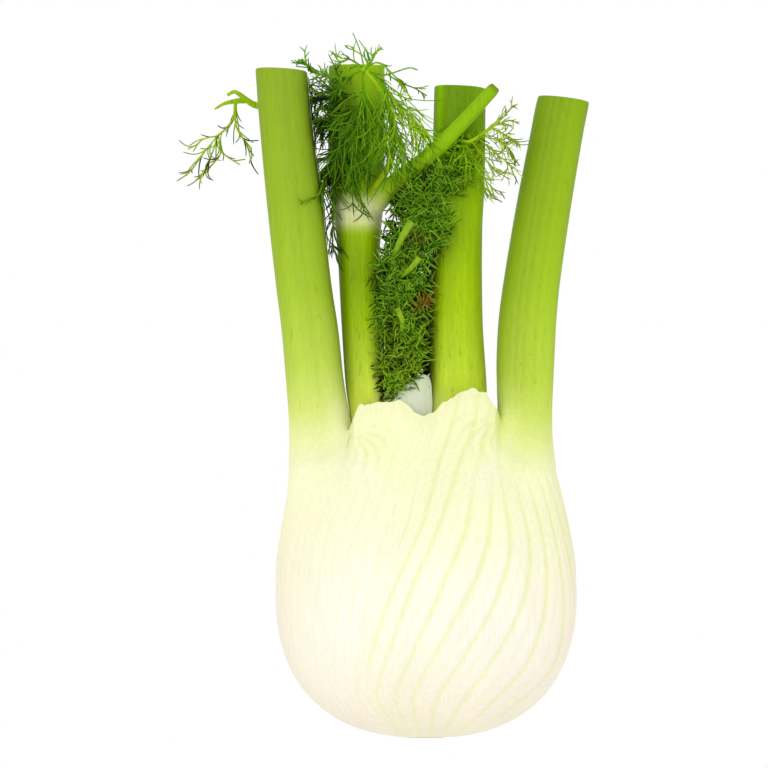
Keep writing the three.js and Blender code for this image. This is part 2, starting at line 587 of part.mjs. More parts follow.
function frondSolid(frond, grow) {
  const bodies = [];
  const spine = (route) => new THREE.CatmullRomCurve3(route.map((p) => new THREE.Vector3(...p)));
  const addTube = (curve, thick, steps, sides) => {
    const points = curve.getPoints(steps);
    const radii = points.map((_, i) => THREE.MathUtils.lerp(thick[0], thick[1], i / steps) + grow);
    bodies.push(tube(points, radii, sides));
  };
  addTube(spine(frond.petiole.route), frond.petiole.thick, 10, 5);
  frond.sprigs.forEach((given, number) => {
    const sprig = { ...YOUNG_SPRIG, ...given };
    const random = seededRandom(frond.seed * 1000 + number);
    const curve = spine(sprig.route);
    addTube(curve, sprig.thick, sprig.route.length + 1, 3);
    const count = Math.round(sprig.threads * THREAD_SHARE);
    for (let k = 0; k < count; k += 1) {
      const t = 0.2 + (0.8 * (k + random() * 0.6)) / count;
      const root = curve.getPointAt(Math.min(t, 0.99));
      const ahead = curve.getTangentAt(Math.min(t, 0.99));
      const around = Math.PI * (k % 2) + (random() - 0.5) * 2.4;
      const flat = new THREE.Vector3(-ahead.y, ahead.x, 0).normalize();
      const raised = flat.clone().cross(ahead).normalize();
      const out = flat.multiplyScalar(Math.cos(around)).addScaledVector(raised, Math.sin(around));
      const splay = sprig.splay * (0.7 + 0.6 * random());
      const direction = ahead.clone().multiplyScalar(Math.cos(splay)).addScaledVector(out, Math.sin(splay));
      const reach = sprig.reach * (0.65 + 0.6 * random()) * (1 - 0.35 * t);
      const beside = frond.besideLeftStalk === true && sprig.inFront !== true;
      bodies.push(threadSolid(root, direction, reach, sprig.hang, random, beside, THREAD_RADIUS + grow));
    }
  });
  return wasm.Manifold.union(bodies);
}

function meshFrom(body, name, material) {
  const mesh = largest(body).getMesh();
  const geometry = new THREE.BufferGeometry();
  geometry.setAttribute('position', new THREE.Float32BufferAttribute(mesh.vertProperties, 3));
  geometry.setIndex(new THREE.Uint32BufferAttribute(mesh.triVerts, 1));
  geometry.computeVertexNormals();
  const piece = new THREE.Mesh(geometry, material);
  piece.name = name;
  return piece;
}

function finish(color, roughness) {
  return new THREE.MeshStandardMaterial({ color, roughness, metalness: 0 });
}

const MATERIALS = {
  outer_leaf: finish(0xf2f3c8, 0.45),
  inner_leaf: finish(0xa5c832, 0.45),
  heart_leaf: finish(0xe0e6c8, 0.5),
  root_plate: finish(0xe8dcb8, 0.7),
  frond: finish(0x3f8a1e, 0.6),
};

const stalks = {};
const stalkRoom = {};
for (const [name, stalk] of Object.entries(STALKS)) {
  stalks[name] = stalkSolid(stalk, 0);
  stalkRoom[name] = stalkSolid(stalk, GAP);
}
const cavity = cavitySolid(0, COLLAR_TOP_Y + 6);
const rootRoom = rootPlateSolid(GAP);
const heartRoom = heartSolid(GAP);

function outerLeaf(sheath, stalk, otherStalkRoom) {
  return sheath.add(stalk).subtract(cavity).subtract(stalkRoom.left_inner).subtract(stalkRoom.right_inner)
    .subtract(otherStalkRoom).subtract(rootRoom).trimByPlane([0, 0, 1], 0);
}

const lapCurve = new THREE.SplineCurve(LAP_EDGE.map(([x, y]) => new THREE.Vector2(x, y)));
const lapPoints = lapCurve.getSpacedPoints(LAP_STEPS).map((p) => [p.x, p.y]);
const rightOutline = [...lapPoints, ...RIGHT_RAGGED_TOP];
const rightSheath = bulbSolid(0).intersect(outlineBlock(rightOutline, 0));
const leftSheath = bulbSolid(-TUCKED_STEP).intersect(outlineBlock(LEFT_OUTLINE, 0))
  .subtract(outlineBlock(rightOutline, -GAP));
const rightOuter = outerLeaf(rightSheath, stalks.right_outer, stalkRoom.left_outer);
const leftOuter = outerLeaf(leftSheath, stalks.left_outer, stalkRoom.right_outer);

function innerLeaf(keepLeft, stalk) {
  const filling = cavitySolid(GAP, 52);
  const normal = keepLeft ? [-1, 0, 0] : [1, 0, 0];
  const half = filling.trimByPlane(normal, normal[0] * SPLIT_X + GAP / 2);
  return half.add(stalk).subtract(rootRoom).subtract(heartRoom);
}

const branchCurve = new THREE.CatmullRomCurve3(BRANCH.map((p) => new THREE.Vector3(...p)));

function branchSolid(grow) {
  const radii = [];
  for (let i = 0; i <= BRANCH_STEPS; i += 1) {
    const along = (i / BRANCH_STEPS) * (BRANCH_RADII.length - 1);
    const k = Math.min(Math.floor(along), BRANCH_RADII.length - 2);
    radii.push(THREE.MathUtils.lerp(BRANCH_RADII[k], BRANCH_RADII[k + 1], along - k) + grow);
  }
  return tube(branchCurve.getPoints(BRANCH_STEPS), radii, BRANCH_SIDES);
}

const leftInner = innerLeaf(true, stalks.left_inner.add(branchSolid(0)));
const rightInner = innerLeaf(false, stalks.right_inner);

const allRoom = wasm.Manifold.union([...Object.values(stalkRoom), branchSolid(GAP), heartRoom]);

function frondClear(name, ...neighbours) {
  const rooms = neighbours.map((neighbour) => frondSolid(FRONDS[neighbour], GAP));
  return frondSolid(FRONDS[name], 0).subtract(wasm.Manifold.union([allRoom, ...rooms]));
}

const part = new THREE.Group();
part.add(
  meshFrom(rootPlateSolid(0), 'root_plate', MATERIALS.root_plate),
  meshFrom(rightOuter, 'right_outer_leaf', MATERIALS.outer_leaf),
  meshFrom(leftOuter, 'left_outer_leaf', MATERIALS.outer_leaf),
  meshFrom(leftInner, 'left_inner_leaf', MATERIALS.inner_leaf),
  meshFrom(rightInner, 'right_inner_leaf', MATERIALS.inner_leaf),
  meshFrom(heartSolid(0), 'heart_leaf', MATERIALS.heart_leaf),
  meshFrom(frondClear('large_frond'), 'large_frond', MATERIALS.frond),
  meshFrom(frondClear('right_frond'), 'right_frond', MATERIALS.frond),
  meshFrom(frondClear('young_frond', 'right_frond'), 'young_frond', MATERIALS.frond),
  meshFrom(frondClear('small_frond'), 'small_frond', MATERIALS.frond),
);

export default part;
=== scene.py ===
"""A fennel bulb lying on its back: leaf bases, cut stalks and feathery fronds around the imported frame.

Shapes are worked out in millimetres and written to the meshes in metres. +Y runs from the root to the
stalk tips and +Z is up, towards the camera.
"""

import math
import random

import bpy
import numpy as np
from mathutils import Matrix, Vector


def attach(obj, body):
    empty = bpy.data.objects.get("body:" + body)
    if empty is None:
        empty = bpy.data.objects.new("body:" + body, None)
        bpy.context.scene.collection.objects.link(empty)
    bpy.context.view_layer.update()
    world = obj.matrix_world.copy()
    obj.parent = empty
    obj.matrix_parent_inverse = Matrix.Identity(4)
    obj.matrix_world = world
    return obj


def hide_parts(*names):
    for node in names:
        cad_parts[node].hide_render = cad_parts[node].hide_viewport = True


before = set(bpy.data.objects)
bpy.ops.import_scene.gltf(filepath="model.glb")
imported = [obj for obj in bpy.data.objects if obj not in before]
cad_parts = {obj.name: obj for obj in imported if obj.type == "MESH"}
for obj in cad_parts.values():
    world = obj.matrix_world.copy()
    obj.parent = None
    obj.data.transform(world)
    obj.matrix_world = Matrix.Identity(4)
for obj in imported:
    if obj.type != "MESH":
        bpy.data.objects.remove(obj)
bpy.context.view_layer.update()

MM = 0.001
# Faces that meet at more than this are shaded with an edge between them
SHARP_ANGLE = math.radians(50)

# The view: the photograph is 768 pixels across, each a third of a millimetre at this height. All but the
# lens and the sensor are in metres
FRAME_WIDTH = 0.256
FRAME_MIDDLE = (-0.014, 0.0687)
FRAME_HEIGHT = 0.034
LENS = 500
SENSOR = 36
# Where the lights aim, and half the width of the floor
LIT_SPOT = Vector((0, 0.06, 0.02))
FLOOR_HALF = 3.0

# The bulb: half width, half depth, reach below the origin, and how square its outlines are
BULB_HALF_WIDTH = 50.3
BULB_HALF_DEPTH = 33.5
BULB_BELOW_ORIGIN = 49.3
BELLY_SQUARENESS = 2.4
SECTION_SQUARENESS = 2.2
BELLY_CENTRE_Z = 32.7
NECK_Y = 57.0
NECK_CENTRE_Z = 28.0
NECK_BEND = 1.4
STALK_SQUARENESS = 2.3

# The sheaths: points across and up, foot, thickness at the edge and what it gains further in
SHEATH_COLUMNS = 230
SHEATH_ROWS = 150
SHEATH_FOOT_Y = -48.95
# Height at which a column's place across the ragged top is taken
TOP_SEEN_AT = 58.0
EDGE_THICKNESS = 0.45
BODY_THICKNESS = 2.6
# The left one is tucked under the right one by this turn and this step
TUCK_TURN = math.radians(7)
TUCKED_STEP = 0.1
SHOULDER_SOFTNESS = 1.6
RAGGEDNESS = 0.28
GROOVE_DEPTH = 0.42
FOLD_DEPTH = 0.45
# The notch beside each outer stalk, and how far out from the middle that stalk's own skin begins
NOTCHES = {"right": (23.6, 58.5), "left": (-24.8, 54.5)}
STALK_FROM = {"right": 23.2, "left": 24.2}
STALK_BLEND = 2.2

# Above the belly: height up the bulb, middle, half width and half depth of each section
BULB_UPPER = [
    (0, 0, BULB_HALF_WIDTH, BULB_HALF_DEPTH), (10, -0.1, 49.9, 32.6), (20, -0.2, 48.4, 29.6),
    (30, -0.4, 46.4, 24.8), (40, -1.1, 44.7, 19.4), (50, -1.7, 44, 14.8), (57, -2, 43.7, 13),
    (68, -2.2, 43, 11), (76, -2.2, 42.6, 10.2),
]
# The space inside the two outer leaves, which the inner leaf bases fill up to a gap, on either side
CAVITY = [
    (-44.6, 0, 2, 1.4), (-43.4, 0, 12, 8), (-38, 0, 26, 18), (-30, 0, 37, 25), (-20, 0, 42.5, 28),
    (-5, 0, 45.8, 29), (10, 0, 45, 28), (20, -0.2, 42, 25.4), (30, -0.5, 35, 21), (40, -1, 28, 16.6),
    (50, -1.5, 23.4, 12.9),
]
PACKED_HEIGHTS = (-44.5, -43.4, -40, -35, -29, -22, -14, -5, 4, 12, 20, 28, 35, 42, 47, 50, 51.6)
PACKED_SIDES = 40
PACKED_GAP = 0.4
SPLIT_X = -4.0
SPLIT_GAP = 0.2

# Stalks: height, middle, half width and half depth of each section, height up the stalk and above the
# ground at both ends of the middle line, and how much the cut slopes across and up
STALKS = {
    "left_outer": {
        "sections": [
            (20, -30, 16, 20), (36, -31, 15, 15.5), (50, -34.6, 11.1, 11), (58, -35.6, 10.3, 9.2),
            (69, -37, 9.7, 8.5), (87, -38.8, 9.5, 8.2), (103, -41, 9.3, 8), (130, -44, 9.3, 8),
            (157, -47, 8.8, 8), (173.6, -48.4, 8.7, 8),
        ],
        "base": (58, 28), "tip": (173.6, 17), "cut": (-0.06, 0.1),
    },
    "left_inner": {
        "sections": [
            (36, -17, 6, 7), (57, -19.4, 5.8, 6.6), (68, -20.4, 6.4, 6.8), (90, -21.5, 6.8, 6.8),
            (110, -22.4, 7, 7), (121, -22.6, 7.7, 7.8), (128, -22.8, 8.6, 8.5), (134, -23.1, 8.9, 8),
            (145, -23.2, 9.5, 7.8), (175.4, -23.2, 9.4, 8),
        ],
        "base": (57, 26.5), "tip": (175.4, 8), "cut": (0, 0.06),
    },
    "right_inner": {
        "sections": [
            (36, 11, 8, 7.5), (57, 11, 9.5, 7.6), (68, 10.8, 9.5, 7.6), (90, 9.9, 9.1, 7.5),
            (120, 10.6, 8.3, 7.4), (136, 10.9, 8.8, 7.6), (168, 11.5, 8.6, 7.6),
        ],
        "base": (57, 26.5), "tip": (168, 12), "cut": (-0.05, 0.1),
    },
    "right_outer": {
        "sections": [
            (20, 30, 17, 20), (36, 30, 14.2, 15.5), (50, 32.2, 10.2, 11), (58, 33, 9.2, 9),
            (67, 33.1, 9.4, 8.3), (77, 33.3, 9.7, 8), (90, 34, 9.7, 7.8), (103, 35.5, 9.5, 7.7),
            (130, 39.8, 9.2, 7.6), (157, 44.8, 8.8, 7.5), (164.2, 46.3, 8.6, 7.5),
        ],
        "base": (58, 27.5), "tip": (164.2, 7.5), "cut": (-0.12, 0.1),
    },
}
STALK_SIDES = 120
STALK_RINGS = 90
RIDGE_HEIGHT = 0.03
CUT_DISH = 0.7
# The rounded edge of a cut: how far below the end, and how much smaller
CUT_EDGE = [(1.2, 0.0), (0.8, 0.01), (0.4, 0.04), (0.15, 0.1), (0, 0.26)]
# Heights at which the stalks start inside their leaf bases, and how much slimmer the outer ones start
OUTER_FOOT_Y = 34
INNER_FOOT_Y = 40
FOOT_SLIMMER = 3.0

# Edge of the right outer leaf where it laps over the left one, as height and place seen from the front
LAP_EDGE = [
    (-54, -4), (-47, -12), (-38, -22), (-28, -24.5), (-20, -23.7), (-3.3, -20.3), (13.3, -16),
    (26.7, -11.3), (43.3, -7), (58.3, -0.3), (70, 3),
]
LAP_LEAN = 0.5
LAP_LEAN_Y = (20, 50)

# Top edges of the two sheaths, as place across and height: ragged in front of the inner stalks, then
# sloping down round the outer stalk, which carries on from there
RIGHT_TOP = [
    (-8, 58.3), (-0.3, 58.3), (2.3, 59.3), (4.7, 62.7), (7, 63.6), (9.7, 66), (12.5, 66.6), (14.7, 67.7),
    (17.3, 66), (19.3, 66.2), (21.3, 62.7), (23.7, 60), (25, 57), (28, 55), (34, 54), (46, 52),
]
LEFT_TOP = [
    (-46, 50), (-38, 51), (-33, 51.4), (-28, 52), (-24.9, 53.3), (-24, 58), (-23, 62.3), (-21.6, 61.4),
    (-20.3, 61.9), (-17, 62.6), (-13.7, 62.5), (-11, 63.5), (-9.3, 63.3), (-7, 61.4), (-4.7, 59.3), (0, 58),
    (12, 55),
]

# Grooves on the right outer leaf: height, then the place across of each groove from left to right
GROOVES = [
    (-48, -9, -7.4, -5, -2, 1.5, 5.5, 10), (-36.7, -20, -16.3, -10.3, -4.3, 3.3, 12, 22),
    (-23.3, -18.6, -13, -4.7, 2.3, 11.3, 21.3, 33.3), (-3.3, -11.7, -5.3, 4.7, 13, 22.3, 31.7, 39.7),
    (16.7, -1.7, 4.3, 13, 20.3, 28, 34.7, 39.7), (36.7, 4.3, 11.7, 17.3, 22.3, 25.7, 30.7, 35.3),
    (50, 9.3, 17, 21, 23.3, 25.4, 28.3, 31.6), (68, 12, 18, 21.6, 24, 26, 28.6, 32),
]
# How many more grooves may follow at the same distance before the first and after the last
GROOVES_BEFORE = 40
GROOVES_AFTER = 60
LEFT_GROOVES = 30
LEFT_SPACING = 7.0

# Heart leaf: height, left edge, right edge and middle height
HEART = [
    (22, -8, -3, 32), (45, -12.6, -0.4, 32.4), (57, -14, 1.9, 32), (62, -14.1, 2.2, 31.4),
    (65, -13.9, 2.1, 30.9), (66.6, -13.2, 2, 30.7), (68, -10.6, 1.9, 30.5), (69.4, -8, 1.7, 30.3),
    (70.6, -5.2, 1.3, 30), (71.4, -3.4, 0.8, 29.9), (71.8, -2, 0, 29.8),
]
HEART_COLUMNS = 30
HEART_THICKNESS = 1.6
HEART_BOW = 1.8

# Root plate: height, half width and half depth
ROOT_PLATE = [(-49.2, 5.6, 4.2), (-48.95, 8.2, 6), (-48.5, 10.6, 7.6), (-47, 12.4, 9.2), (-38, 8.5, 6.5)]
ROOT_SIDES = 72
ROOT_ROUGHNESS = 0.25

# Slim branch from the node of the left inner stalk, crossing to the right in front
BRANCH = [
    (-19, 124, 17), (-16, 130, 20), (-10.3, 136, 22.5), (1.3, 145, 26), (11.3, 155, 27), (18, 162.3, 27.5),
    (23.3, 168, 28),
]
BRANCH_RADII = [3.1, 3, 2.9, 2.8, 2.6, 2.3, 2.1]
BRANCH_STEPS = 60
BRANCH_SIDES = 28
BRANCH_DISH = 0.5

# Colours, as they look in the photograph, from 0 to 255
CREAM = (255, 251, 237)
WARM_CREAM = (255, 245, 225)
PALE_YELLOW = (253, 252, 204)
GROOVE_TINT = (234, 242, 166)
FOLD_TINT = (220, 226, 142)
SHEATH_TOP = (238, 240, 182)
PACKED_TINT = (226, 234, 160)
RIDGE_TINT = (222, 236, 120)
CUT_TINT = (206, 224, 150)
BRANCH_CUT_TINT = (130, 110, 40)
BRANCH_END_TINT = (112, 96, 24)
HEART_TINT = (240, 243, 222)
HEART_TOP_TINT = (222, 230, 200)
HEART_EDGE_TINT = (196, 214, 150)
ROOT_TINTS = [(206, 182, 132), (222, 202, 156)] + 3 * [(236, 222, 184)]
# Colours up each stalk and up the branch
STALK_COLOURS = {
    "left_outer": [
        (26, (253, 252, 222)), (40, (250, 251, 205)), (50, (240, 246, 172)), (60, (216, 232, 118)),
        (75, (190, 215, 78)), (100, (166, 198, 48)), (130, (152, 184, 38)), (174, (142, 174, 36)),
    ],
    "left_inner": [
        (50, (236, 242, 130)), (64, (206, 226, 70)), (90, (164, 200, 4)), (106, (144, 182, 0)),
        (118, (152, 190, 0)), (120.5, (178, 206, 50)), (122.6, (226, 234, 156)), (127, (242, 244, 186)),
        (130, (222, 230, 150)), (132.5, (156, 190, 24)), (138, (132, 176, 2)), (160, (134, 180, 6)),
        (175, (164, 206, 20)),
    ],
    "right_inner": [
        (50, (220, 234, 110)), (64, (196, 220, 56)), (95, (168, 202, 10)), (125, (148, 188, 0)),
        (150, (122, 164, 2)), (168, (114, 154, 6)),
    ],
    "right_outer": [
        (26, (253, 252, 224)), (38, (248, 251, 200)), (48, (232, 243, 152)), (58, (210, 229, 104)),
        (70, (186, 212, 66)), (100, (160, 194, 34)), (130, (146, 180, 24)), (165, (134, 170, 20)),
    ],
}
BRANCH_COLOURS = [
    (125, (238, 242, 186)), (129.5, (220, 228, 140)), (133.5, (158, 198, 18)), (150, (142, 190, 6)),
    (168, (140, 186, 10)),
]
# Painted light and shade across each stalk from left to right; near its top the right inner one has a
# painted highlight on its left edge
PAINTED_STALK_LIGHT = {
    "left_outer": [(-1, 0.92), (-0.8, 1.0), (-0.4, 1.04), (0, 0.98), (0.4, 1.0), (0.8, 0.94), (1, 0.86)],
    "left_inner": [
        (-1, 0.5), (-0.72, 0.56), (-0.5, 0.82), (-0.1, 0.94), (0.2, 1.12), (0.5, 1.1), (0.8, 0.9), (1, 0.74),
    ],
    "right_inner": [
        (-1, 0.3), (-0.86, 0.36), (-0.7, 0.9), (-0.45, 1.1), (-0.2, 0.98), (0.15, 1.06), (0.5, 0.96),
        (0.8, 0.86), (1, 0.76),
    ],
    "right_outer": [(-1, 0.82), (-0.6, 0.94), (-0.2, 0.96), (0.2, 1.04), (0.6, 1.1), (0.85, 1.06), (1, 0.9)],
    "right_inner_top": [
        (-1, 1.0), (-0.93, 1.3), (-0.84, 1.75), (-0.74, 1.7), (-0.6, 1.1), (-0.2, 0.98), (0.3, 1.0),
        (0.5, 1.1), (0.8, 1.25), (1, 1.0),
    ],
}
FROND_DARK = (36, 96, 8)
FROND_MID = (86, 156, 12)
FROND_BRIGHT = (150, 204, 26)
FROND_YELLOW = (188, 216, 30)
PETIOLE_TINT = (166, 202, 24)
STUB_TINT = (140, 178, 34)
DRIED_TINT = (74, 60, 36)


def linear(colour):
    """A colour from 0 to 255 as the eye sees it, turned into the linear values that shading uses."""
    c = np.asarray(colour, float) / 255
    return np.where(c <= 0.04045, c / 12.92, ((c + 0.055) / 1.055) ** 2.4)


def smooth(value, low, high):
    t = np.clip((np.asarray(value, float) - low) / (high - low), 0, 1)
    return t * t * (3 - 2 * t)


def mix(a, b, t):
    t = np.asarray(t)[..., None]
    return np.asarray(a) * (1 - t) + np.asarray(b) * t


def unit(v):
    return v / (np.linalg.norm(v, axis=-1, keepdims=True) + 1e-9)


def stacked(x, y, z):
    """Points from their three places, each of them one number or an array."""
    return np.stack(np.broadcast_arrays(x, y, z), axis=-1)


def turns_round(sides):
    return np.arange(sides) / sides * 2 * np.pi


def oval(turn, width, depth, squareness=2.0):
    """Places across and up on a squarish oval, for turns round it."""
    c, s = np.cos(turn), np.sin(turn)
    across = width * np.sign(c) * np.abs(c) ** (2 / squareness)
    return across, depth * np.sign(s) * np.abs(s) ** (2 / squareness)


def column(table, height, k):
    """Smooth values down one column of a table whose rows start with the height."""
    rows = np.asarray(table, float)
    h = rows[:, 0]
    v = rows[:, k]
    slope = np.zeros(len(v))
    slope[1:-1] = (v[2:] - v[:-2]) / (h[2:] - h[:-2])
    slope[0] = (v[1] - v[0]) / (h[1] - h[0])
    slope[-1] = (v[-1] - v[-2]) / (h[-1] - h[-2])
    y = np.clip(np.asarray(height, float), h[0], h[-1])
    i = np.clip(np.searchsorted(h, y, side="right") - 1, 0, len(h) - 2)
    span = h[i + 1] - h[i]
    t = (y - h[i]) / span
    ends = v[i] * (1 + 2 * t) * (1 - t) ** 2 + v[i + 1] * t * t * (3 - 2 * t)
    return ends + span * (slope[i] * t * (1 - t) ** 2 - slope[i + 1] * t * t * (1 - t))


def values_at(table, height):
    """Smooth values of all the columns after the height."""
    return [column(table, height, k) for k in range(1, len(table[0]))]


def centre_z(y):
    y = np.asarray(y, float)
    return BELLY_CENTRE_Z + (NECK_CENTRE_Z - BELLY_CENTRE_Z) * (np.clip(y, 0, None) / NECK_Y) ** NECK_BEND


def bulb_section(y):
    """Middle, half width and half depth of the bulb at each height."""
    y = np.asarray(y, float)
    reach = np.clip(-y / BULB_BELOW_ORIGIN, 0, 1)
    narrowing = (1 - reach ** BELLY_SQUARENESS) ** (1 / BELLY_SQUARENESS)
    below = (0, BULB_HALF_WIDTH * narrowing, BULB_HALF_DEPTH * narrowing)
    return [np.where(y < 0, low, high) for low, high in zip(below, values_at(BULB_UPPER, y))]


def stalk_z(stalk, y):
    (y0, z0), (y1, z1) = stalk["base"], stalk["tip"]
    t = np.clip((np.asarray(y, float) - y0) / (y1 - y0), -0.15, None)
    return z0 + (z1 - z0) * t


def wavy(count, seed, low, high):
    """A smooth closed row of numbers from a sum of seeded waves, from -1 to 1."""
    rng = np.random.default_rng(seed)
    turn = turns_round(count)
    total = np.zeros(count)
    for waves in range(low, high):
        total += rng.normal() * np.sin(waves * turn + rng.uniform(0, 6.28))
    return total / np.abs(total).max()


def in_scene(name, data):
    thing = bpy.data.objects.new(name, data)
    bpy.context.scene.collection.objects.link(thing)
    return thing


class Parts:
    """Gathers the vertices, faces and tints of one piece."""

    def __init__(self):
        self.points = []
        self.faces = []
        self.tints = []
        self.count = 0

    def add(self, points, faces, tints):
        points = np.asarray(points, float).reshape(-1, 3)
        tints = np.broadcast_to(np.asarray(tints, float).reshape(-1, 3), points.shape)
        self.points.append(points)
        self.tints.append(tints)
        self.faces += [tuple(i + self.count for i in face) for face in faces]
        self.count += len(points)

    def build(self, name, material):
        mesh = bpy.data.meshes.new(name)
        points = np.concatenate(self.points) * MM
        mesh.from_pydata(points.tolist(), [], self.faces)
        mesh.validate()
        tint = mesh.attributes.new("tint", "FLOAT_COLOR", "POINT")
        colours = np.ones((len(points), 4))
        colours[:, :3] = np.concatenate(self.tints)
        tint.data.foreach_set("color", colours.ravel())
        mesh.polygons.foreach_set("use_smooth", [True] * len(mesh.polygons))
        mesh.set_sharp_from_angle(angle=SHARP_ANGLE)
        mesh.materials.append(material)
        return in_scene(name, mesh)


def grid_faces(rows, columns, closed, flip=False):
    faces = []
    last = columns if closed else columns - 1
    for r in range(rows - 1):
        for c in range(last):
            a = r * columns + c
            b = r * columns + (c + 1) % columns
            quad = (a, b, b + columns, a + columns)
            faces.append(quad[::-1] if flip else quad)
    return faces


# Rings of an end face, as shares of its rim
CAP_SHARES = (0.93, 0.8, 0.6, 0.35, 0.12)


def add_loft(parts, rings, tints, flip=False, dish=0.0, dish_tint=None):
    """A closed body through rings of points. The last ring's end may be dished inwards a little."""
    rings = np.asarray(rings, float)
    rows, sides = rings.shape[:2]
    parts.add(rings, grid_faces(rows, sides, True, flip), tints)
    for row, towards, turned in ((0, 1, not flip), (rows - 1, rows - 2, flip)):
        rim, base = rings[row], tints[row]
        target = base if dish_tint is None or not row else dish_tint
        middle = rim.mean(axis=0)
        inward = unit(rings[towards].mean(axis=0) - middle)
        points, colours = [rim], [base]
        for i, share in enumerate(CAP_SHARES):
            sunk = dish * (1 - share ** 2) if row else 0
            points.append(middle + (rim - middle) * share + inward * sunk)
            amount = min(1.0, (i + 0.6) / 1.6)
            colours.append(base * (1 - amount) + target * amount)
        faces = grid_faces(len(points), sides, True, turned)
        hub = tuple(range((len(points) - 1) * sides, len(points) * sides))
        faces.append(hub[::-1] if turned else hub)
        parts.add(points, faces, colours)


def outward(side, x):
    return x if side == "right" else -x


def on_outer_stalk(side, x):
    """1 where an outer leaf is its stalk, 0 where it is its sheath."""
    return smooth(outward(side, x), STALK_FROM[side], STALK_FROM[side] + STALK_BLEND)


def joined_to_stalk(side, x, y, z, angle):
    """The leaf base swells out to its own stalk and dips under its skin at the top edge."""
    stalk = STALKS[side + "_outer"]
    middle, width, depth = values_at(stalk["sections"], y)
    across = np.abs(x - middle) / width
    bulge = depth * (1 - np.clip(across, 0, 1) ** STALK_SQUARENESS) ** (1 / STALK_SQUARENESS)
    bulge = bulge - 3 * width * np.clip(across - 1, 0, None)
    facing = np.sign(np.sin(angle))
    bulge = bulge + facing * (stalk_z(stalk, y) - centre_z(y))
    height = np.abs(z - centre_z(y))
    softness = SHOULDER_SOFTNESS * smooth(np.abs(np.sin(angle)), 0, 0.5)
    higher = 0.5 * (height + bulge + np.sqrt((height - bulge) ** 2 + softness ** 2))
    on_stalk = on_outer_stalk(side, x)
    dip = 0.5 * np.clip((y - 44) / 6, 0, 1) * on_stalk
    joined = higher + (np.minimum(bulge, higher) - higher) * smooth(y, 36, 51) * on_stalk - dip
    joined = height + (joined - height) * smooth(y, 12, 26)
    return centre_z(y) + facing * joined


def lap_turns(y):
    """How far round the bulb's section the right leaf's front and back edges lie at each height."""
    middle, width, depth = bulb_section(y)
    front_x = column(LAP_EDGE, y, 1)
    lean = LAP_LEAN * (1 - smooth(y, *LAP_LEAN_Y))
    turns = []
    for x in (front_x, front_x + lean * 2 * depth):
        q = np.clip((x - middle) / width, -0.93, 0.93)
        turns.append(np.arccos(np.sign(q) * np.abs(q) ** (SECTION_SQUARENESS / 2)))
    return turns[0], -turns[1]


def ragged(values, seed):
    rng = np.random.default_rng(seed)
    rough = np.convolve(rng.normal(size=len(values) + 4), [0.2, 0.6, 0.2], "same")[2:-2]
    return values + RAGGEDNESS * rough


def sheath(parts, side):
    """One outer leaf's wrap round the bulb, from the root up to its ragged top."""
    right = side == "right"
    u = np.linspace(0, 1, SHEATH_COLUMNS)

    def turns(y):
        front, back = lap_turns(y)
        if not right:
            front, back = front - TUCK_TURN, back + 2 * np.pi + TUCK_TURN
        return front + (back - front) * u

    middle, width, depth = bulb_section(TOP_SEEN_AT)
    top_x = middle + oval(turns(np.full(SHEATH_COLUMNS, TOP_SEEN_AT)), width, depth, SECTION_SQUARENESS)[0]
    edge = np.asarray(RIGHT_TOP if right else LEFT_TOP, float)
    top = np.interp(top_x, edge[:, 0], edge[:, 1])
    free = outward(side, top_x) < STALK_FROM[side] + 0.2
    top = np.where(free, ragged(top, 5 if right else 6), top)
    y = SHEATH_FOOT_Y + (top - SHEATH_FOOT_Y) * np.linspace(0, 1, SHEATH_ROWS)[:, None] ** 1.35
    turn = np.stack([turns(row) for row in y])
    middle, width, depth = bulb_section(y)
    step = 0 if right else TUCKED_STEP
    across, height = oval(turn, width - step, depth - step, SECTION_SQUARENESS)
    x = middle + across
    angle = np.arctan2(height, across)
    z = joined_to_stalk(side, x, y, centre_z(y) + height, angle)
    groove = right_grooves(x, y, z) if right else left_grooves(u, y)
    folds = notch_folds(side, x, y) * (np.sin(angle) > 0)
    fade = smooth(top - y, 1, 9) * smooth(y, -48, -40)
    sunk = GROOVE_DEPTH * groove * (0.35 + 0.65 * fade) + FOLD_DEPTH * folds
    body = np.maximum(smooth(top - y, 0, 12), on_outer_stalk(side, x))
    thick = EDGE_THICKNESS + BODY_THICKNESS * smooth(np.minimum(u, 1 - u), 0, 0.02) * body

    def skin(inset, lowest):
        return stacked(x - inset * np.cos(angle), y, np.maximum(z - inset * np.sin(angle), lowest))

    outer = skin(sunk, 0.0)
    tint = mix(sheath_tint(side, outer, groove, top - y), linear(FOLD_TINT), 0.5 * folds)
    add_shell(parts, outer, skin(thick, 0.4), tint)


def right_grooves(x, y, z):
    """Groove strength on the right outer leaf, fanning from its stalk down to the root."""
    strength = np.zeros(x.shape)
    count = len(GROOVES[0]) - 1
    numbers = [-GROOVES_BEFORE, *range(count), count - 1 + GROOVES_AFTER]
    for r in range(len(x)):
        arc = np.concatenate([[0], np.cumsum(np.hypot(np.diff(x[r]), np.diff(z[r])))])
        turn = int(np.argmax(x[r]))
        reach = np.maximum.accumulate(x[r, :turn + 1]) + np.arange(turn + 1) * 1e-6
        at = np.interp(values_at(GROOVES, y[r, 0]), reach, arc[:turn + 1])
        at = np.maximum.accumulate(at + np.arange(count) * 1e-3)
        before = at[0] - max(at[1] - at[0], 1.5) * GROOVES_BEFORE
        after = at[-1] + max(at[-1] - at[-2], 2.5) * GROOVES_AFTER
        number = np.interp(arc, [before, *at, after], numbers)
        strength[r] = groove_profile(number, np.interp(arc, at, np.gradient(at)))
    return strength


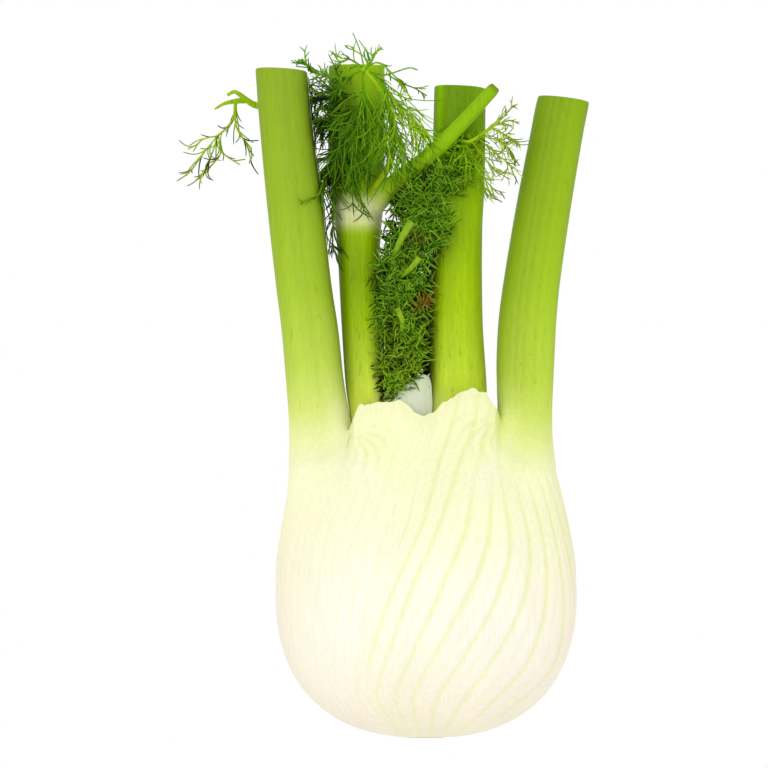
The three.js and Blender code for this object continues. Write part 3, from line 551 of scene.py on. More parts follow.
def notch_folds(side, x, y):
    """Short folds that spread down and inwards from the notch beside the outer stalk."""
    notch_x, notch_y = NOTCHES[side]
    dx = outward(side, notch_x - x)
    dy = y - notch_y
    away = np.hypot(dx, dy)
    turn = np.arctan2(dy, dx)
    ridges = 0.5 + 0.5 * np.sin(17 * turn + 0.25 * away + 1.5 * np.sin(0.5 * away))
    return ridges ** 2 * np.exp(-((away - 8) / 6.5) ** 2) * smooth(dx, -1, 2) * smooth(-dy, -3, 3)


def left_grooves(u, y):
    number = np.broadcast_to(u * LEFT_GROOVES, y.shape)
    return 0.55 * groove_profile(number, LEFT_SPACING)


def groove_profile(number, spacing):
    """Strong narrow grooves at whole numbers, with faint ones between them."""
    away = np.abs(number - np.round(number)) * spacing
    between = np.abs(number - np.floor(number) - 0.5) * spacing
    return (0.55 * np.exp(-(away / 0.6) ** 2) + 0.45 * np.exp(-(away / 1.7) ** 2)
            + 0.3 * np.exp(-(between / 0.8) ** 2))


def colour_at(stops, value):
    """Colours along a list of (place, colour), blended between its stops."""
    places = [place for place, _ in stops]
    colours = np.array([linear(colour) for _, colour in stops])
    return np.stack([np.interp(value, places, colours[:, k]) for k in range(3)], axis=-1)


def across_stalk(name, x, y):
    """Place across a stalk, from -1 at its left side to 1 at its right."""
    middle, width, _ = values_at(STALKS[name]["sections"], y)
    return (x - middle) / width


def stalk_colour(name, across, y):
    """Stalk colour, paler further up on the side that faces the middle of the bulb."""
    inward = -across if name.startswith("right") else across
    return colour_at(STALK_COLOURS[name], y - 9 * smooth(inward, -0.1, 0.9) * (1 - smooth(y, 58, 84)))


# Painted light and shade: the factor on a stalk's colour at a place across it
def painted_light_across(name, q):
    stops = np.array(PAINTED_STALK_LIGHT[name])
    return np.interp(q, stops[:, 0], stops[:, 1])


def sheath_tint(side, points, groove, below_top):
    x, y = points[..., 0], points[..., 1]
    strength = (0.8 if side == "right" else 0.5) * (0.55 + 0.45 * smooth(y, -50, 30))
    tint = mix(base_tint(side, x, y), linear(GROOVE_TINT), np.clip(groove, 0, 1) * strength)
    under_stalk, tint = greened(side + "_outer", x, y, tint)
    tip = (1 - smooth(below_top, 0, 9)) * (1 - under_stalk) * 0.6
    return mix(tint, linear(SHEATH_TOP), tip)


def base_tint(side, x, y):
    """Cream of the bulb, warmer towards its foot and sides and pale yellow near the top."""
    low = smooth(-y, 0, 46)
    away = smooth(np.abs(x), 24, 50)
    tint = mix(linear(CREAM), linear(WARM_CREAM), np.maximum(low, away))
    return mix(tint, linear(PALE_YELLOW), smooth(y, -14, 52) * (1.0 if side == "left" else 0.9))


def greened(name, x, y, tint):
    """Green that runs down from an outer stalk into the leaf base, and how much of it there is."""
    across = across_stalk(name, x, y)
    window = 1 - smooth(np.abs(across), 0.8, 1.35)
    return window, mix(tint, stalk_colour(name, across, y), window * smooth(y, 24, 44))


def add_shell(parts, outer, inner, tint):
    """A curved sheet with real thickness, closed along all four edges."""
    rows, columns = outer.shape[:2]
    start = parts.count
    offset = rows * columns
    parts.add(outer, grid_faces(rows, columns, False, True), tint)
    parts.add(inner, grid_faces(rows, columns, False), tint)
    rim = [r * columns for r in range(rows)]
    rim += [(rows - 1) * columns + c for c in range(1, columns)]
    rim += [r * columns + columns - 1 for r in range(rows - 2, -1, -1)]
    rim += [c for c in range(columns - 2, 0, -1)]
    for a, b in zip(rim, rim[1:] + rim[:1]):
        parts.faces.append((start + a, start + b, start + b + offset, start + a + offset))


def stalk_rings(stalk, start_y, seed, slimmer):
    """Rings of points up a stalk with fine lengthwise ridges, slimmer where its foot is hidden."""
    end = stalk["sections"][-1][0]
    levels = [(y, 0) for y in np.linspace(start_y, end - 1.6, STALK_RINGS)]
    levels += [(end - below, trim) for below, trim in CUT_EDGE]
    turn = (np.arange(STALK_SIDES) + 0.5) / STALK_SIDES * 2 * np.pi
    fine = wavy(STALK_SIDES, seed, 14, 36)
    slope_across, slope_up = stalk["cut"]
    rings = []
    for y, trim in levels:
        middle, width, depth = values_at(stalk["sections"], y)
        gain = RIDGE_HEIGHT * fine * smooth(y, 48, 66) - trim - slimmer * (1 - smooth(y, 35, 41))
        across, up = oval(turn, width + gain, depth + gain, STALK_SQUARENESS)
        height = y + smooth(y, end - 12, end - 2) * (slope_across * across + slope_up * up)
        rings.append(stacked(middle + across, height, np.maximum(stalk_z(stalk, y) + up, 0)))
    return np.array(rings), fine


def stalk_tint(name, rings, fine):
    x, y = rings[..., 0], rings[..., 1]
    across = across_stalk(name, x, y)
    tint = stalk_colour(name, across, y)
    if name.endswith("outer"):
        foot = greened(name, x, y, base_tint(name.split("_")[0], x, y))[1]
        tint = mix(foot, tint, smooth(y, 47, 57))
    grown = smooth(y, 54, 72)[..., None]
    # Painted light and shade across the stalk, fading out towards its foot
    shade = painted_light_across(name, across)
    if name == "right_inner":
        shade = shade + (painted_light_across("right_inner_top", across) - shade) * smooth(y, 112, 138)
    shade = 1 + (shade[..., None] - 1) * grown
    # Painted shade in the hollows between the fine ridges, and a paler ridge tint on their tops
    darker = 1 - 0.06 * np.clip(-fine, 0, 1)[:, None] * grown
    lighter = 0.03 * np.clip(fine, 0, 1)[:, None] * grown
    return tint * shade * darker * (1 - lighter) + linear(RIDGE_TINT) * lighter


def add_stalk(parts, name, start_y, seed, slimmer=0.0):
    rings, fine = stalk_rings(STALKS[name], start_y, seed, slimmer)
    tint = stalk_tint(name, rings, fine)
    add_loft(parts, rings, tint, flip=True, dish=CUT_DISH, dish_tint=linear(CUT_TINT))


def filling(parts, side):
    """The leaf bases packed inside the bulb, on one side of its middle."""
    rings = []
    for y in PACKED_HEIGHTS:
        middle, width, depth = values_at(CAVITY, y)
        shrink = 1 - 0.6 * smooth(y, 47, 52)
        width, depth = (width - PACKED_GAP) * shrink, (depth - PACKED_GAP) * shrink
        across, up = oval(turns_round(PACKED_SIDES), width, depth, SECTION_SQUARENESS)
        x = middle + across
        x = np.minimum(x, SPLIT_X - SPLIT_GAP) if side == "left" else np.maximum(x, SPLIT_X + SPLIT_GAP)
        rings.append(stacked(x, y, centre_z(y) + up))
    add_loft(parts, rings, np.broadcast_to(linear(PACKED_TINT), np.shape(rings)), flip=True)


def spline(points, steps):
    """Points along a smooth curve through given points, evenly spread."""
    p = np.asarray(points, float)
    padded = np.vstack([2 * p[0] - p[1], p, 2 * p[-1] - p[-2]])
    dense = []
    for i in range(len(p) - 1):
        a, b, c, d = padded[i:i + 4]
        t = np.linspace(0, 1, 12, endpoint=False)[:, None]
        dense.append(0.5 * (2 * b + (c - a) * t + (2 * a - 5 * b + 4 * c - d) * t ** 2
                            + (3 * b - a - 3 * c + d) * t ** 3))
    dense = np.vstack(dense + [p[-1:]])
    arc = np.concatenate([[0], np.cumsum(np.linalg.norm(np.diff(dense, axis=0), axis=1))])
    at = np.linspace(0, arc[-1], steps + 1)
    return np.stack([np.interp(at, arc, dense[:, k]) for k in range(3)], axis=-1)


def tube_rings(points, radii, sides):
    """Rings round a route, carried along it without twisting."""
    ahead = unit(np.gradient(points, axis=0))
    turn = turns_round(sides)[:, None]
    side = np.array([0.0, 0, 1]) if abs(ahead[0, 2]) < 0.9 else np.array([1.0, 0, 0])
    rings = []
    for point, direction, radius in zip(points, ahead, radii):
        side = unit(side - direction * side.dot(direction))
        other = np.cross(direction, side)
        rings.append(point + radius * (np.cos(turn) * side + np.sin(turn) * other))
    return np.array(rings)


def add_branch(parts):
    """The slim branch: it swells a little where it leaves the node and is dried brown at its cut end."""
    points = spline(BRANCH, BRANCH_STEPS)
    step = np.arange(BRANCH_STEPS + 1)
    share = np.linspace(0, len(BRANCH_RADII) - 1, BRANCH_STEPS + 1)
    radii = np.interp(share, np.arange(len(BRANCH_RADII)), BRANCH_RADII)
    radii[-2:] -= (0.1, 0.5)
    radii += 0.7 * np.exp(-((step - 9) / 5.0) ** 2)
    brown = 0.7 * smooth(step, BRANCH_STEPS - 2, BRANCH_STEPS)
    tint = mix(colour_at(BRANCH_COLOURS, points[:, 1]), linear(BRANCH_END_TINT), brown)
    tint = np.repeat(tint[:, None], BRANCH_SIDES, axis=1)
    rings = tube_rings(points, radii, BRANCH_SIDES)
    add_loft(parts, rings, tint, dish=BRANCH_DISH, dish_tint=linear(BRANCH_CUT_TINT))


def make_outer_leaf(side, material, seed):
    parts = Parts()
    sheath(parts, side)
    add_stalk(parts, side + "_outer", OUTER_FOOT_Y, seed, FOOT_SLIMMER)
    return parts.build(side + "_leaf", material)


def make_inner_leaf(side, material, seed):
    parts = Parts()
    filling(parts, side)
    add_stalk(parts, side + "_inner", INNER_FOOT_Y, seed)
    if side == "left":
        add_branch(parts)
    return parts.build(side + "_inner_stalk", material)


def make_heart(material):
    parts = Parts()
    u = np.linspace(-1, 1, HEART_COLUMNS)
    outer, inner = [], []
    for y in np.concatenate([np.linspace(22, 64, 30), np.linspace(65, 71.8, 26)]):
        left, right, z = values_at(HEART, y)
        x = (left + right) / 2 + (right - left) / 2 * u
        bow = HEART_BOW * (0.4 - u * u)
        thick = 0.5 * HEART_THICKNESS * np.sqrt(1 - 0.9 * u * u) * (1 - 0.6 * smooth(y, 66, 71.8))
        ripple = 0.03 * np.sin(u * 19 + 0.05 * y)
        outer.append(stacked(x, y, z + bow + thick + ripple))
        inner.append(stacked(x, y, z + bow - thick))
    outer = np.array(outer)
    tint = mix(linear(HEART_TINT), linear(HEART_TOP_TINT), smooth(outer[..., 1], 58, 72))
    tint = mix(tint, linear(HEART_EDGE_TINT), 0.5 * smooth(-outer[..., 0], 9, 14))
    tint *= (1 + 0.012 * np.random.default_rng(4).normal(size=HEART_COLUMNS))[:, None]
    add_shell(parts, outer, np.array(inner), tint)
    return parts.build("heart_sheath", material)


def make_root_plate(material):
    parts = Parts()
    rough = ROOT_ROUGHNESS * wavy(ROOT_SIDES, 8, 5, 20)
    rings = []
    for y, width, depth in ROOT_PLATE:
        across, up = oval(turns_round(ROOT_SIDES), width + rough, depth + rough)
        rings.append(stacked(across, y, BELLY_CENTRE_Z + up))
    add_loft(parts, rings, np.repeat(linear(ROOT_TINTS)[:, None], ROOT_SIDES, axis=1), flip=True)
    return parts.build("root_scar", material)


# Sprigs of the feathery leaves: route, thickness at both ends, how many threads, how long they are, how
# far they splay and how strongly they hang towards the root
LARGE_SPRIGS = [
    ([(-20.5, 173.6, 26), (-18, 176.7, 28), (-17.6, 178.6, 29), (-14.7, 181, 29)], (0.8, 0.6),
     3, 3.6, 1, -0.5),
    ([(-20.5, 173.6, 26), (-15, 172, 27), (-12, 172.3, 27), (-5.7, 174.3, 26), (-2.7, 173.6, 25)],
     (0.6, 0.4), 0, 0, 0, 0),
    ([(-13, 172.2, 27), (-8.3, 169.3, 26), (-3.7, 167.5, 25.5), (0.3, 165, 25)], (0.5, 0.4),
     3, 4.4, 0.4, 0.8),
    ([(-20.5, 173.6, 26), (-15, 170, 29), (-12, 165, 30), (-7, 160, 29.5), (-2, 154, 29), (1, 150.5, 29)],
     (0.8, 0.45), 26, 11, 0.6, 1.3),
    ([(-21.3, 174, 26.2), (-21, 165.5, 27.6), (-20.7, 156.7, 29), (-21, 148.3, 29), (-19, 142, 28)],
     (0.9, 0.5), 20, 11, 0.6, 0.9),
    ([(-21, 168, 27.2), (-17, 160, 30), (-13.9, 153.3, 31), (-13, 146, 30.5)], (0.7, 0.45),
     18, 11, 0.5, 0.9),
    ([(-16, 170.6, 28.6), (-11.3, 158, 31), (-8.7, 149, 30.5), (-7, 144, 29.5)], (0.7, 0.45),
     22, 11, 0.5, 0.9),
    ([(-21, 165.5, 27.6), (-24, 157, 28), (-27, 150, 27), (-31.6, 143, 24), (-34.6, 137, 23.5)],
     (0.8, 0.45), 38, 11, 0.8, 0.7),
    ([(-21, 163, 27.8), (-27, 158, 26), (-32, 157, 23.5), (-35.8, 155, 20)], (0.6, 0.4), 36, 8, 0.9, 0.6),
    ([(-21, 165.5, 27.6), (-27, 165, 26), (-33, 164.6, 23), (-37, 163.6, 20.5)], (0.6, 0.4),
     28, 8, 0.8, 0.2),
    ([(-21.3, 173.6, 26.2), (-27, 171, 24), (-33, 171.6, 21), (-37.6, 173.6, 20), (-41.6, 177.6, 20)],
     (0.7, 0.5), 15, 4.6, 0.6, -0.2),
    ([(-21, 174.4, 26.2), (-25, 177, 27), (-29, 176.6, 26), (-31.2, 179.8, 26)], (0.6, 0.35),
     5, 4, 0.9, 0.2),
    ([(-30.6, 144.6, 24.8), (-30.6, 135, 24.6), (-31, 124, 24.6), (-31.3, 114, 24)], (0.5, 0.4),
     12, 8, 0.35, 1.2),
    ([(-33.9, 138.4, 23.8), (-35.5, 132.6, 28), (-38, 131.2, 30.6), (-42, 129.4, 31)], (0.45, 0.4),
     3, 5, 0.5, 0.6),
    ([(-25.5, 153.6, 27.6), (-25, 145, 27), (-24.3, 136, 27.6), (-22.7, 130, 27.2)], (0.5, 0.4),
     9, 9, 0.55, 1),
    ([(-20.5, 173.6, 26), (-22, 180, 27), (-24.4, 186, 28)], (0.55, 0.3), 0, 0, 0, 0),
    ([(-18.2, 176, 27.6), (-20, 180, 28), (-22.4, 183.6, 28)], (0.55, 0.3), 0, 0, 0, 0),
    ([(-20.8, 174, 26.4), (-24.5, 175.4, 27.4), (-27.6, 172.6, 28), (-29, 168, 28)], (0.6, 0.35),
     4, 5, 0.8, 0.3),
    ([(-20.4, 173.8, 26.4), (-16, 176, 27.4), (-10, 171, 28), (-4.6, 163.6, 28)], (0.6, 0.35),
     5, 4, 0.4, 0.9),
    ([(-20.8, 172, 26.6), (-19.6, 176.6, 27.6), (-23, 179.6, 27), (-26.4, 181, 26.4)], (0.55, 0.3),
     2, 3, 0.6, 0.2),
]
RIGHT_SPRIGS = [
    ([(19, 152.3, 26), (24.7, 156.7, 25), (28, 160.4, 24.4), (30, 162, 24)], (0.5, 0.4), 8, 3.4, 0.6, 0),
    ([(22, 154.6, 25.6), (26.2, 156.4, 25), (28.4, 156.8, 25)], (0.5, 0.4), 6, 5, 0.7, 0.2),
    ([(22, 154.2, 25.6), (27.6, 151.4, 25), (29.4, 149.8, 24)], (0.5, 0.4), 12, 6, 0.8, 0.4),
    ([(18, 151.8, 26), (24.6, 150, 25.6), (27.4, 147.6, 25), (29, 145.6, 24)], (0.5, 0.4),
     14, 6, 0.8, 0.5),
    ([(17, 151.2, 26), (24, 145.2, 25.6), (27, 143, 25), (29, 140.6, 24)], (0.5, 0.4), 14, 6, 0.8, 0.5),
    ([(15, 150, 26), (19, 145.2, 26), (22.6, 140.4, 25.4), (25.6, 138.8, 25)], (0.5, 0.4),
     12, 6, 0.7, 0.7),
    ([(13, 149.6, 25.6), (17, 142.4, 26.6), (20, 136.8, 25.6), (24, 132.4, 24.6)], (0.5, 0.4),
     12, 6, 0.6, 0.7),
    ([(12, 149.6, 25.2), (17.4, 140, 26.4), (19.6, 134.6, 25.4), (20.6, 130.6, 24.6)], (0.5, 0.4),
     10, 6, 0.5, 0.8),
    ([(10, 149, 24), (9.6, 144, 27), (8, 139, 28), (6, 136, 27.8)], (0.5, 0.4), 14, 6, 0.9, 0.6),
    ([(6, 146, 23.4), (4.6, 142, 26.4), (2.6, 138.6, 27.4)], (0.5, 0.4), 12, 6, 0.9, 0.6),
    ([(12, 149.6, 25), (13.4, 143, 27.4), (13, 138, 27.6)], (0.5, 0.4), 12, 6, 0.9, 0.6),
]
# The same for the young frond, without splay and hang, which are alike for all of its sprigs
YOUNG_SPRIGS = [
    ([(-9.9, 71, 27.2), (-12.6, 74, 30), (-14.6, 75, 31)], (0.8, 0.5), 12, 4.6),
    ([(-9.8, 73, 27.4), (-6, 75, 31), (-3.4, 75.6, 32)], (0.8, 0.5), 14, 4.6),
    ([(-9, 78, 28.2), (-5, 80, 32), (-1.6, 81, 32)], (0.8, 0.5), 14, 5),
    ([(-9, 78, 28.2), (-12, 82, 31.4), (-14, 84, 32)], (0.8, 0.5), 14, 5),
    ([(-8, 83, 28.7), (-3.6, 88, 32.4), (0.6, 89.6, 31.6)], (0.8, 0.5), 14, 5),
    ([(-7.3, 87, 29), (-12, 91, 32), (-15.6, 93, 31.8)], (0.8, 0.5), 16, 5),
    ([(-6.4, 93, 29.3), (-11.6, 99, 32.6), (-16, 99.6, 32)], (0.8, 0.5), 16, 5),
    ([(-6, 97, 29.4), (-2, 101, 33), (0.6, 103.6, 33.4)], (0.8, 0.5), 12, 5),
    ([(-6.8, 102, 29.8), (-11, 107, 32.6), (-14.4, 108, 32)], (0.8, 0.5), 14, 5),
    ([(-7, 88, 29.2), (-12, 90, 32), (-16.4, 90.6, 31)], (0.6, 0.4), 14, 4),
    ([(-6.2, 94, 29.4), (-12, 96, 32), (-17.4, 96.6, 31)], (0.6, 0.4), 14, 4),
    ([(-6.8, 98, 29.6), (-12, 102, 32), (-17.6, 103, 31)], (0.6, 0.4), 14, 4),
    ([(-7, 107, 30), (-2.6, 109.6, 33.6), (2.6, 110, 34)], (0.8, 0.5), 14, 5),
    ([(-6.4, 112, 30.2), (-0.6, 114.6, 34), (5, 115.6, 33.8)], (0.8, 0.5), 16, 5),
    ([(-5.6, 116, 30.4), (-9, 118.6, 33), (-11.6, 121, 32.6)], (0.8, 0.5), 12, 5),
    ([(-4.4, 119, 30.3), (1.6, 119.6, 34.6), (7, 121, 33.6)], (0.8, 0.5), 18, 5),
    ([(-3, 122.6, 30), (1, 124.6, 33.6), (4.6, 126, 33.4)], (0.8, 0.5), 14, 4.4),
    ([(-3, 122.6, 30), (-5, 124.6, 33), (-6, 126.4, 33)], (0.8, 0.5), 12, 4.2),
    ([(-1.6, 126, 30.2), (1.6, 129.6, 33.4), (4.6, 132, 34)], (0.8, 0.5), 10, 4),
    ([(-4, 120.5, 30.3), (2, 123, 35), (7.6, 123.6, 35.4)], (0.8, 0.5), 12, 4),
    ([(-3, 123, 30), (3, 127, 34.6), (7.4, 128.6, 35)], (0.8, 0.5), 12, 4),
    ([(-1.6, 126, 30.2), (-5, 129.4, 32.6), (-8, 131, 32.4)], (0.8, 0.5), 8, 4),
]
SMALL_SPRIGS = [
    ([(-60.6, 164, 8), (-64, 163.6, 9), (-67.6, 162.8, 9), (-70.8, 161, 8.6)], (2.1, 0.6), 0, 0, 0, 0),
    ([(-64, 163, 8.7), (-64.6, 158, 8), (-67, 154.6, 7), (-70.6, 151.6, 6)], (0.8, 0.6), 5, 6, 0.8, 0.4),
    ([(-70.2, 152, 6.1), (-74.6, 151, 5.4), (-77.2, 149, 4.6), (-80, 147.6, 4)], (0.5, 0.4),
     4, 5, 0.5, 0.3),
    ([(-70, 152, 6.1), (-74, 147, 5.6), (-78, 141.6, 4.6), (-80.6, 138.6, 4)], (0.5, 0.4), 8, 7, 0.4, 0.5),
    ([(-70, 152, 6.1), (-71.6, 146.6, 6.4), (-74, 141, 5.4), (-76, 137.4, 4.6)], (0.5, 0.4),
     10, 6, 0.5, 0.5),
    ([(-69.6, 152.2, 6.2), (-69, 146, 5.6), (-71.6, 142.6, 5), (-74, 139.6, 4.4)], (0.5, 0.4),
     6, 5, 0.6, 0.4),
    ([(-63.6, 163.2, 8.7), (-63.8, 156, 8), (-61.6, 151.6, 7), (-58.4, 147.6, 6)], (0.7, 0.45),
     8, 6, 0.5, 0.5),
    ([(-61.8, 152, 7.1), (-59.6, 147.6, 6), (-58.6, 143, 5)], (0.5, 0.4), 4, 5, 0.4, 0.5),
    ([(-69.8, 150.2, 6.4), (-69.4, 147.6, 6.4), (-65, 144, 6), (-60.6, 144.2, 5)], (0.45, 0.4),
     2, 4, 0.5, 0.4),
]
# Splay and hang of the young frond's sprigs and of all side shoots
YOUNG_SPLAY = 1.1
YOUNG_HANG = 0.2
# How each frond grows. "foot": where its stem starts, inside what it grows from; "petiole", "thick": the
# stem's route and its thickness at both ends; "stem", "stem_share": colour of the sprigs' stems and how
# thick those are against the table; "count", "reach", "splay": threads against the table; "forks",
# "fork": how many finer threads leave each and how wide; "curl", "steps", "jitter": how much a thread
# bends, in how many steps and how unevenly; "radius", "swell": its thickness and what it gains deep in
# the frond; "tip", "tip_share", "tip_power": colour of the tips, its strength and how late it comes in;
# "depth", "shadow", "even": heights between which the light comes back, how dark it is below them, and
# how far one thread is lit as its root is; "top_lit": place up the frond from which it is all lit
FRONDS = {
    "large_frond": {
        "foot": (-20, 127, 17),
        "petiole": [(-18, 132.8, 22), (-12.6, 141.3, 24), (-10.8, 150, 25), (-12.7, 161.7, 26),
                    (-17, 170, 26.5), (-21.3, 174.3, 26)],
        "thick": (1.3, 0.9), "sprigs": LARGE_SPRIGS, "stem": (124, 178, 14), "stem_share": 0.6,
        "count": 1.4, "reach": 1.7, "splay": 0.6, "forks": 2, "fork": (0.1, 0.3),
        "curl": 1.5, "steps": 7, "jitter": 0.05, "radius": 0.24, "swell": 0.3,
        "tip": (112, 174, 18), "tip_share": 0.5, "tip_power": 2.2,
        "depth": (21, 30), "shadow": 0.08, "even": 0.0, "top_lit": (160, 176),
    },
    "right_frond": {
        "foot": (-18, 123, 19),
        "petiole": [(-14.6, 129, 20), (-8.6, 135, 21), (-2.2, 140.8, 21.8), (4, 146, 23), (9.6, 150.2, 24),
                    (14, 149.6, 26), (19, 152.3, 26), (24, 156.3, 25.4)],
        "thick": (1, 0.6), "sprigs": RIGHT_SPRIGS, "stem": (160, 198, 16), "stem_share": 0.6,
        "count": 1.3, "reach": 1.25, "splay": 0.7, "forks": 1, "fork": (0.15, 0.35),
        "curl": 1.6, "steps": 6, "jitter": 0.07, "radius": 0.2, "swell": 0.6,
        "tip": (176, 210, 24), "tip_share": 0.55, "tip_power": 2.2,
        "depth": (22, 27), "shadow": 0.16, "even": 0.0,
    },
    "young_frond": {
        "foot": (-9.4, 48, 23),
        "petiole": [(-9.6, 56, 23.6), (-10.4, 66, 25.6), (-9.3, 76.7, 28), (-7.3, 86.7, 29),
                    (-6, 96.7, 29.4), (-7.3, 106.7, 30), (-5.3, 116.7, 30.4), (-2.7, 123, 30),
                    (-1, 128, 30.4)],
        "thick": (2.2, 1), "sprigs": [(*sprig, YOUNG_SPLAY, YOUNG_HANG) for sprig in YOUNG_SPRIGS],
        "stem": (44, 100, 10), "stem_share": 0.8,
        "count": 1.75, "reach": 1.5, "splay": 1.1, "forks": 0,
        "curl": 3.6, "steps": 5, "jitter": 0.04, "radius": 0.155, "swell": 1.9,
        "tip": (176, 218, 60), "tip_share": 0.6, "tip_power": 1.6,
        "depth": (29.5, 35.5), "shadow": 0.03, "even": 0.35,
    },
    "small_frond": {
        "foot": (-43, 160, 6),
        "petiole": [(-47, 160.6, 5.6), (-56.8, 162.3, 6.4), (-60, 164, 8), (-62.3, 165.8, 9),
                    (-64.4, 166.8, 9.4), (-66.6, 165.6, 9.6)],
        "thick": (2.1, 0.5), "sprigs": SMALL_SPRIGS, "stem": (160, 196, 24), "stem_share": 0.6,
        "count": 1.1, "reach": 1.5, "splay": 0.4, "forks": 0,
        "curl": 1.8, "steps": 7, "jitter": 0.1, "radius": 0.31, "swell": 0.0,
        "tip": (52, 44, 26), "tip_share": 0.95, "tip_power": 1.3,
        "depth": (-4, 2), "shadow": 0.4, "even": 0.0,
    },
}
# The sprig of the large frond that hangs in front of the left outer stalk
IN_FRONT = 13
# Where a thread may lie: anywhere, right of the left outer stalk, or between the two inner stalks
FREE, BESIDE, BETWEEN = 0, 1, 2
# Sprigs of the young frond whose ends lie lower than this stay between the inner stalks
DEEP_BELOW = 29
THREAD_SIDES = 3
SPRIG_STEPS = 60
# Threads sag by this share of their hang, and keep these gaps from stalks and from the ground
DOWN = np.array([0.0, -1.0, -0.1])
SAG = 0.6
STALK_GAP = 0.15
GROUND_GAP = 0.3
# A thread that meets a stalk's side is not lifted onto it, but climbs a little beside it
STEEPEST_LIFT = 3
CLIMB = np.array([0, 0, 0.35])
# Outline of the young frond: height, left side and right side
YOUNG_OUTLINE = [
    (66, -13.6, -9), (68.5, -14.5, -5), (72, -15.4, -1.6), (78, -16.2, 0.6), (86, -16.6, 1.2), (91, -18, 2),
    (95, -19.8, 2.4), (102, -20, 2.6), (106, -19.4, 3), (110, -17, 5), (114, -15.2, 8.4), (120, -15, 10.4),
    (127, -12.6, 10.6), (133, -9.6, 10.6), (138, -6, 11), (142, -1, 12),
]
# The same for its deep part between the inner stalks, and for the low part of the right frond that painted
# shade makes dark
DEEP_OUTLINE = [
    (58, -13.6, 1.4), (70, -13.9, 1.2), (90, -14.6, 0.8), (110, -15.2, 1.4), (118, -14.4, 2.2),
    (124, -12.4, 2.2), (133, -9.4, 2.1), (139, -5, 2.1),
]
RIGHT_OUTLINE = [(130, 0, 12), (136, -1, 16), (142, 1, 19), (148, 6, 20), (152, 12, 20)]
# Side shoots that fill them: how many, at which heights, and how far inside the two sides
YOUNG_SHOOTS = (YOUNG_OUTLINE, 150, (31, 33, 35), 1.2)
DEEP_SHOOTS = (DEEP_OUTLINE, 95, (18, 21, 24, 26), 0.4)
RIGHT_SHOOTS = (RIGHT_OUTLINE, 60, (22, 23.5, 25), 2)
# What grows on a side shoot, a deep stem and a pale stub, as in the tables of sprigs
SHOOT_GROWTH = ((0.26, 0.2), 9, 4.2, YOUNG_SPLAY, YOUNG_HANG)
DEEP_GROWTH = ((0.5, 0.4), 60, 4.2, 1.2, 0.1)
STUB_GROWTH = ((0.3, 0.2), 10, 3, 0.9, 0.2)
# Threads that have dried brown in the young frond: place, reach and colour, and the lowest height
DRIED = [((-0.8, 96), 3.4, (130, 46, 20)), ((-3.4, 117.4), 2.6, (96, 80, 26))]
DRIED_ABOVE = 31
BROWN_SPRIG = ([(-3.6, 93.6, 35), (-1, 95.8, 37), (1.6, 96.6, 36.8)], (0.4, 0.3), 18, 3, 1.2, 0.2)
# Pale stubs of side stems in the young frond, and their thickness at both ends
YOUNG_STUBS = [
    ([(-11, 111, 33), (-9.2, 115, 36.6), (-7.2, 119, 38), (-4.8, 122.8, 38.2)], (0.8, 1.4)),
    ([(-8, 104.6, 33), (-5, 107.4, 37), (-2.2, 110.8, 37.8)], (0.7, 1.1)),
    ([(-8.2, 86, 33), (-8, 90, 36.4), (-9.6, 94, 37)], (0.7, 1)),
]
# Stems deep between the inner stalks, close to both of them
DEEP_STEMS = [
    [(-10, 56, 22), (-12.8, 66, 21), (-13.2, 85, 21), (-13.7, 100, 21), (-13.6, 114, 21)],
    [(-10, 56, 24), (-12.2, 68, 25), (-12.6, 85, 26), (-13, 100, 26), (-12.8, 113, 26)],
    [(-8, 56, 21), (-0.6, 62, 21), (0.2, 80, 21), (-0.2, 95, 21), (0.6, 112, 21.5), (1.2, 126, 22)],
    [(-8, 56, 24), (-1.4, 64, 25), (-0.6, 80, 26), (-0.8, 95, 26), (0, 112, 26), (0.8, 124, 26)],
]
# The millimetres of height for which the threads look up where the stalks are, and by how much these
# count as thicker
LEVELS_FROM = 60
LEVEL_COUNT = 120
STALK_MARGIN = 0.4


def stalk_levels():
    """For every millimetre up the stalks: middle, half width, half depth and height of each of them."""
    heights = np.arange(LEVELS_FROM, LEVELS_FROM + LEVEL_COUNT)
    levels = []
    for stalk in STALKS.values():
        middle, width, depth = values_at(stalk["sections"], heights)
        width = np.where(heights > stalk["sections"][-1][0] + 1, 1e-6, width + STALK_MARGIN)
        levels.append(np.stack([middle, width, depth + STALK_MARGIN, stalk_z(stalk, heights)], axis=-1))
    return np.stack(levels, axis=1)


LEVELS = stalk_levels()


def stalk_top(x, y):
    """Height of the top of the stalks over each place, or 0 where there is none."""
    at = np.round(y).astype(int) - LEVELS_FROM
    level = LEVELS[np.clip(at, 0, LEVEL_COUNT - 1)]
    across = np.abs(x[:, None] - level[..., 0]) / level[..., 1]
    height = level[..., 3] + level[..., 2] * np.sqrt(np.clip(1 - across ** 2, 0, None))
    height = np.where(across < 1, height, 0).max(axis=1)
    return np.where((at >= 0) & (at < LEVEL_COUNT), height, 0)


def stalk_side(name, y, side):
    """Place across of a stalk's right side, or of its left side where side is -1."""
    middle, width, _ = values_at(STALKS[name]["sections"], y)
    return middle + side * width


def kept_in_zone(x, y, zone, radius):
    """Keeps threads beside the left outer stalk clear of it, and deep ones between the inner stalks."""
    beside = np.maximum(x, stalk_side("left_outer", y, 1) + radius)
    x = np.where((zone == BESIDE) & (y < 175), beside, x)
    low = stalk_side("left_inner", y, 1) + radius
    high = stalk_side("right_inner", y, -1) - radius
    return np.where(zone == BETWEEN, np.clip(x, low, high), x)


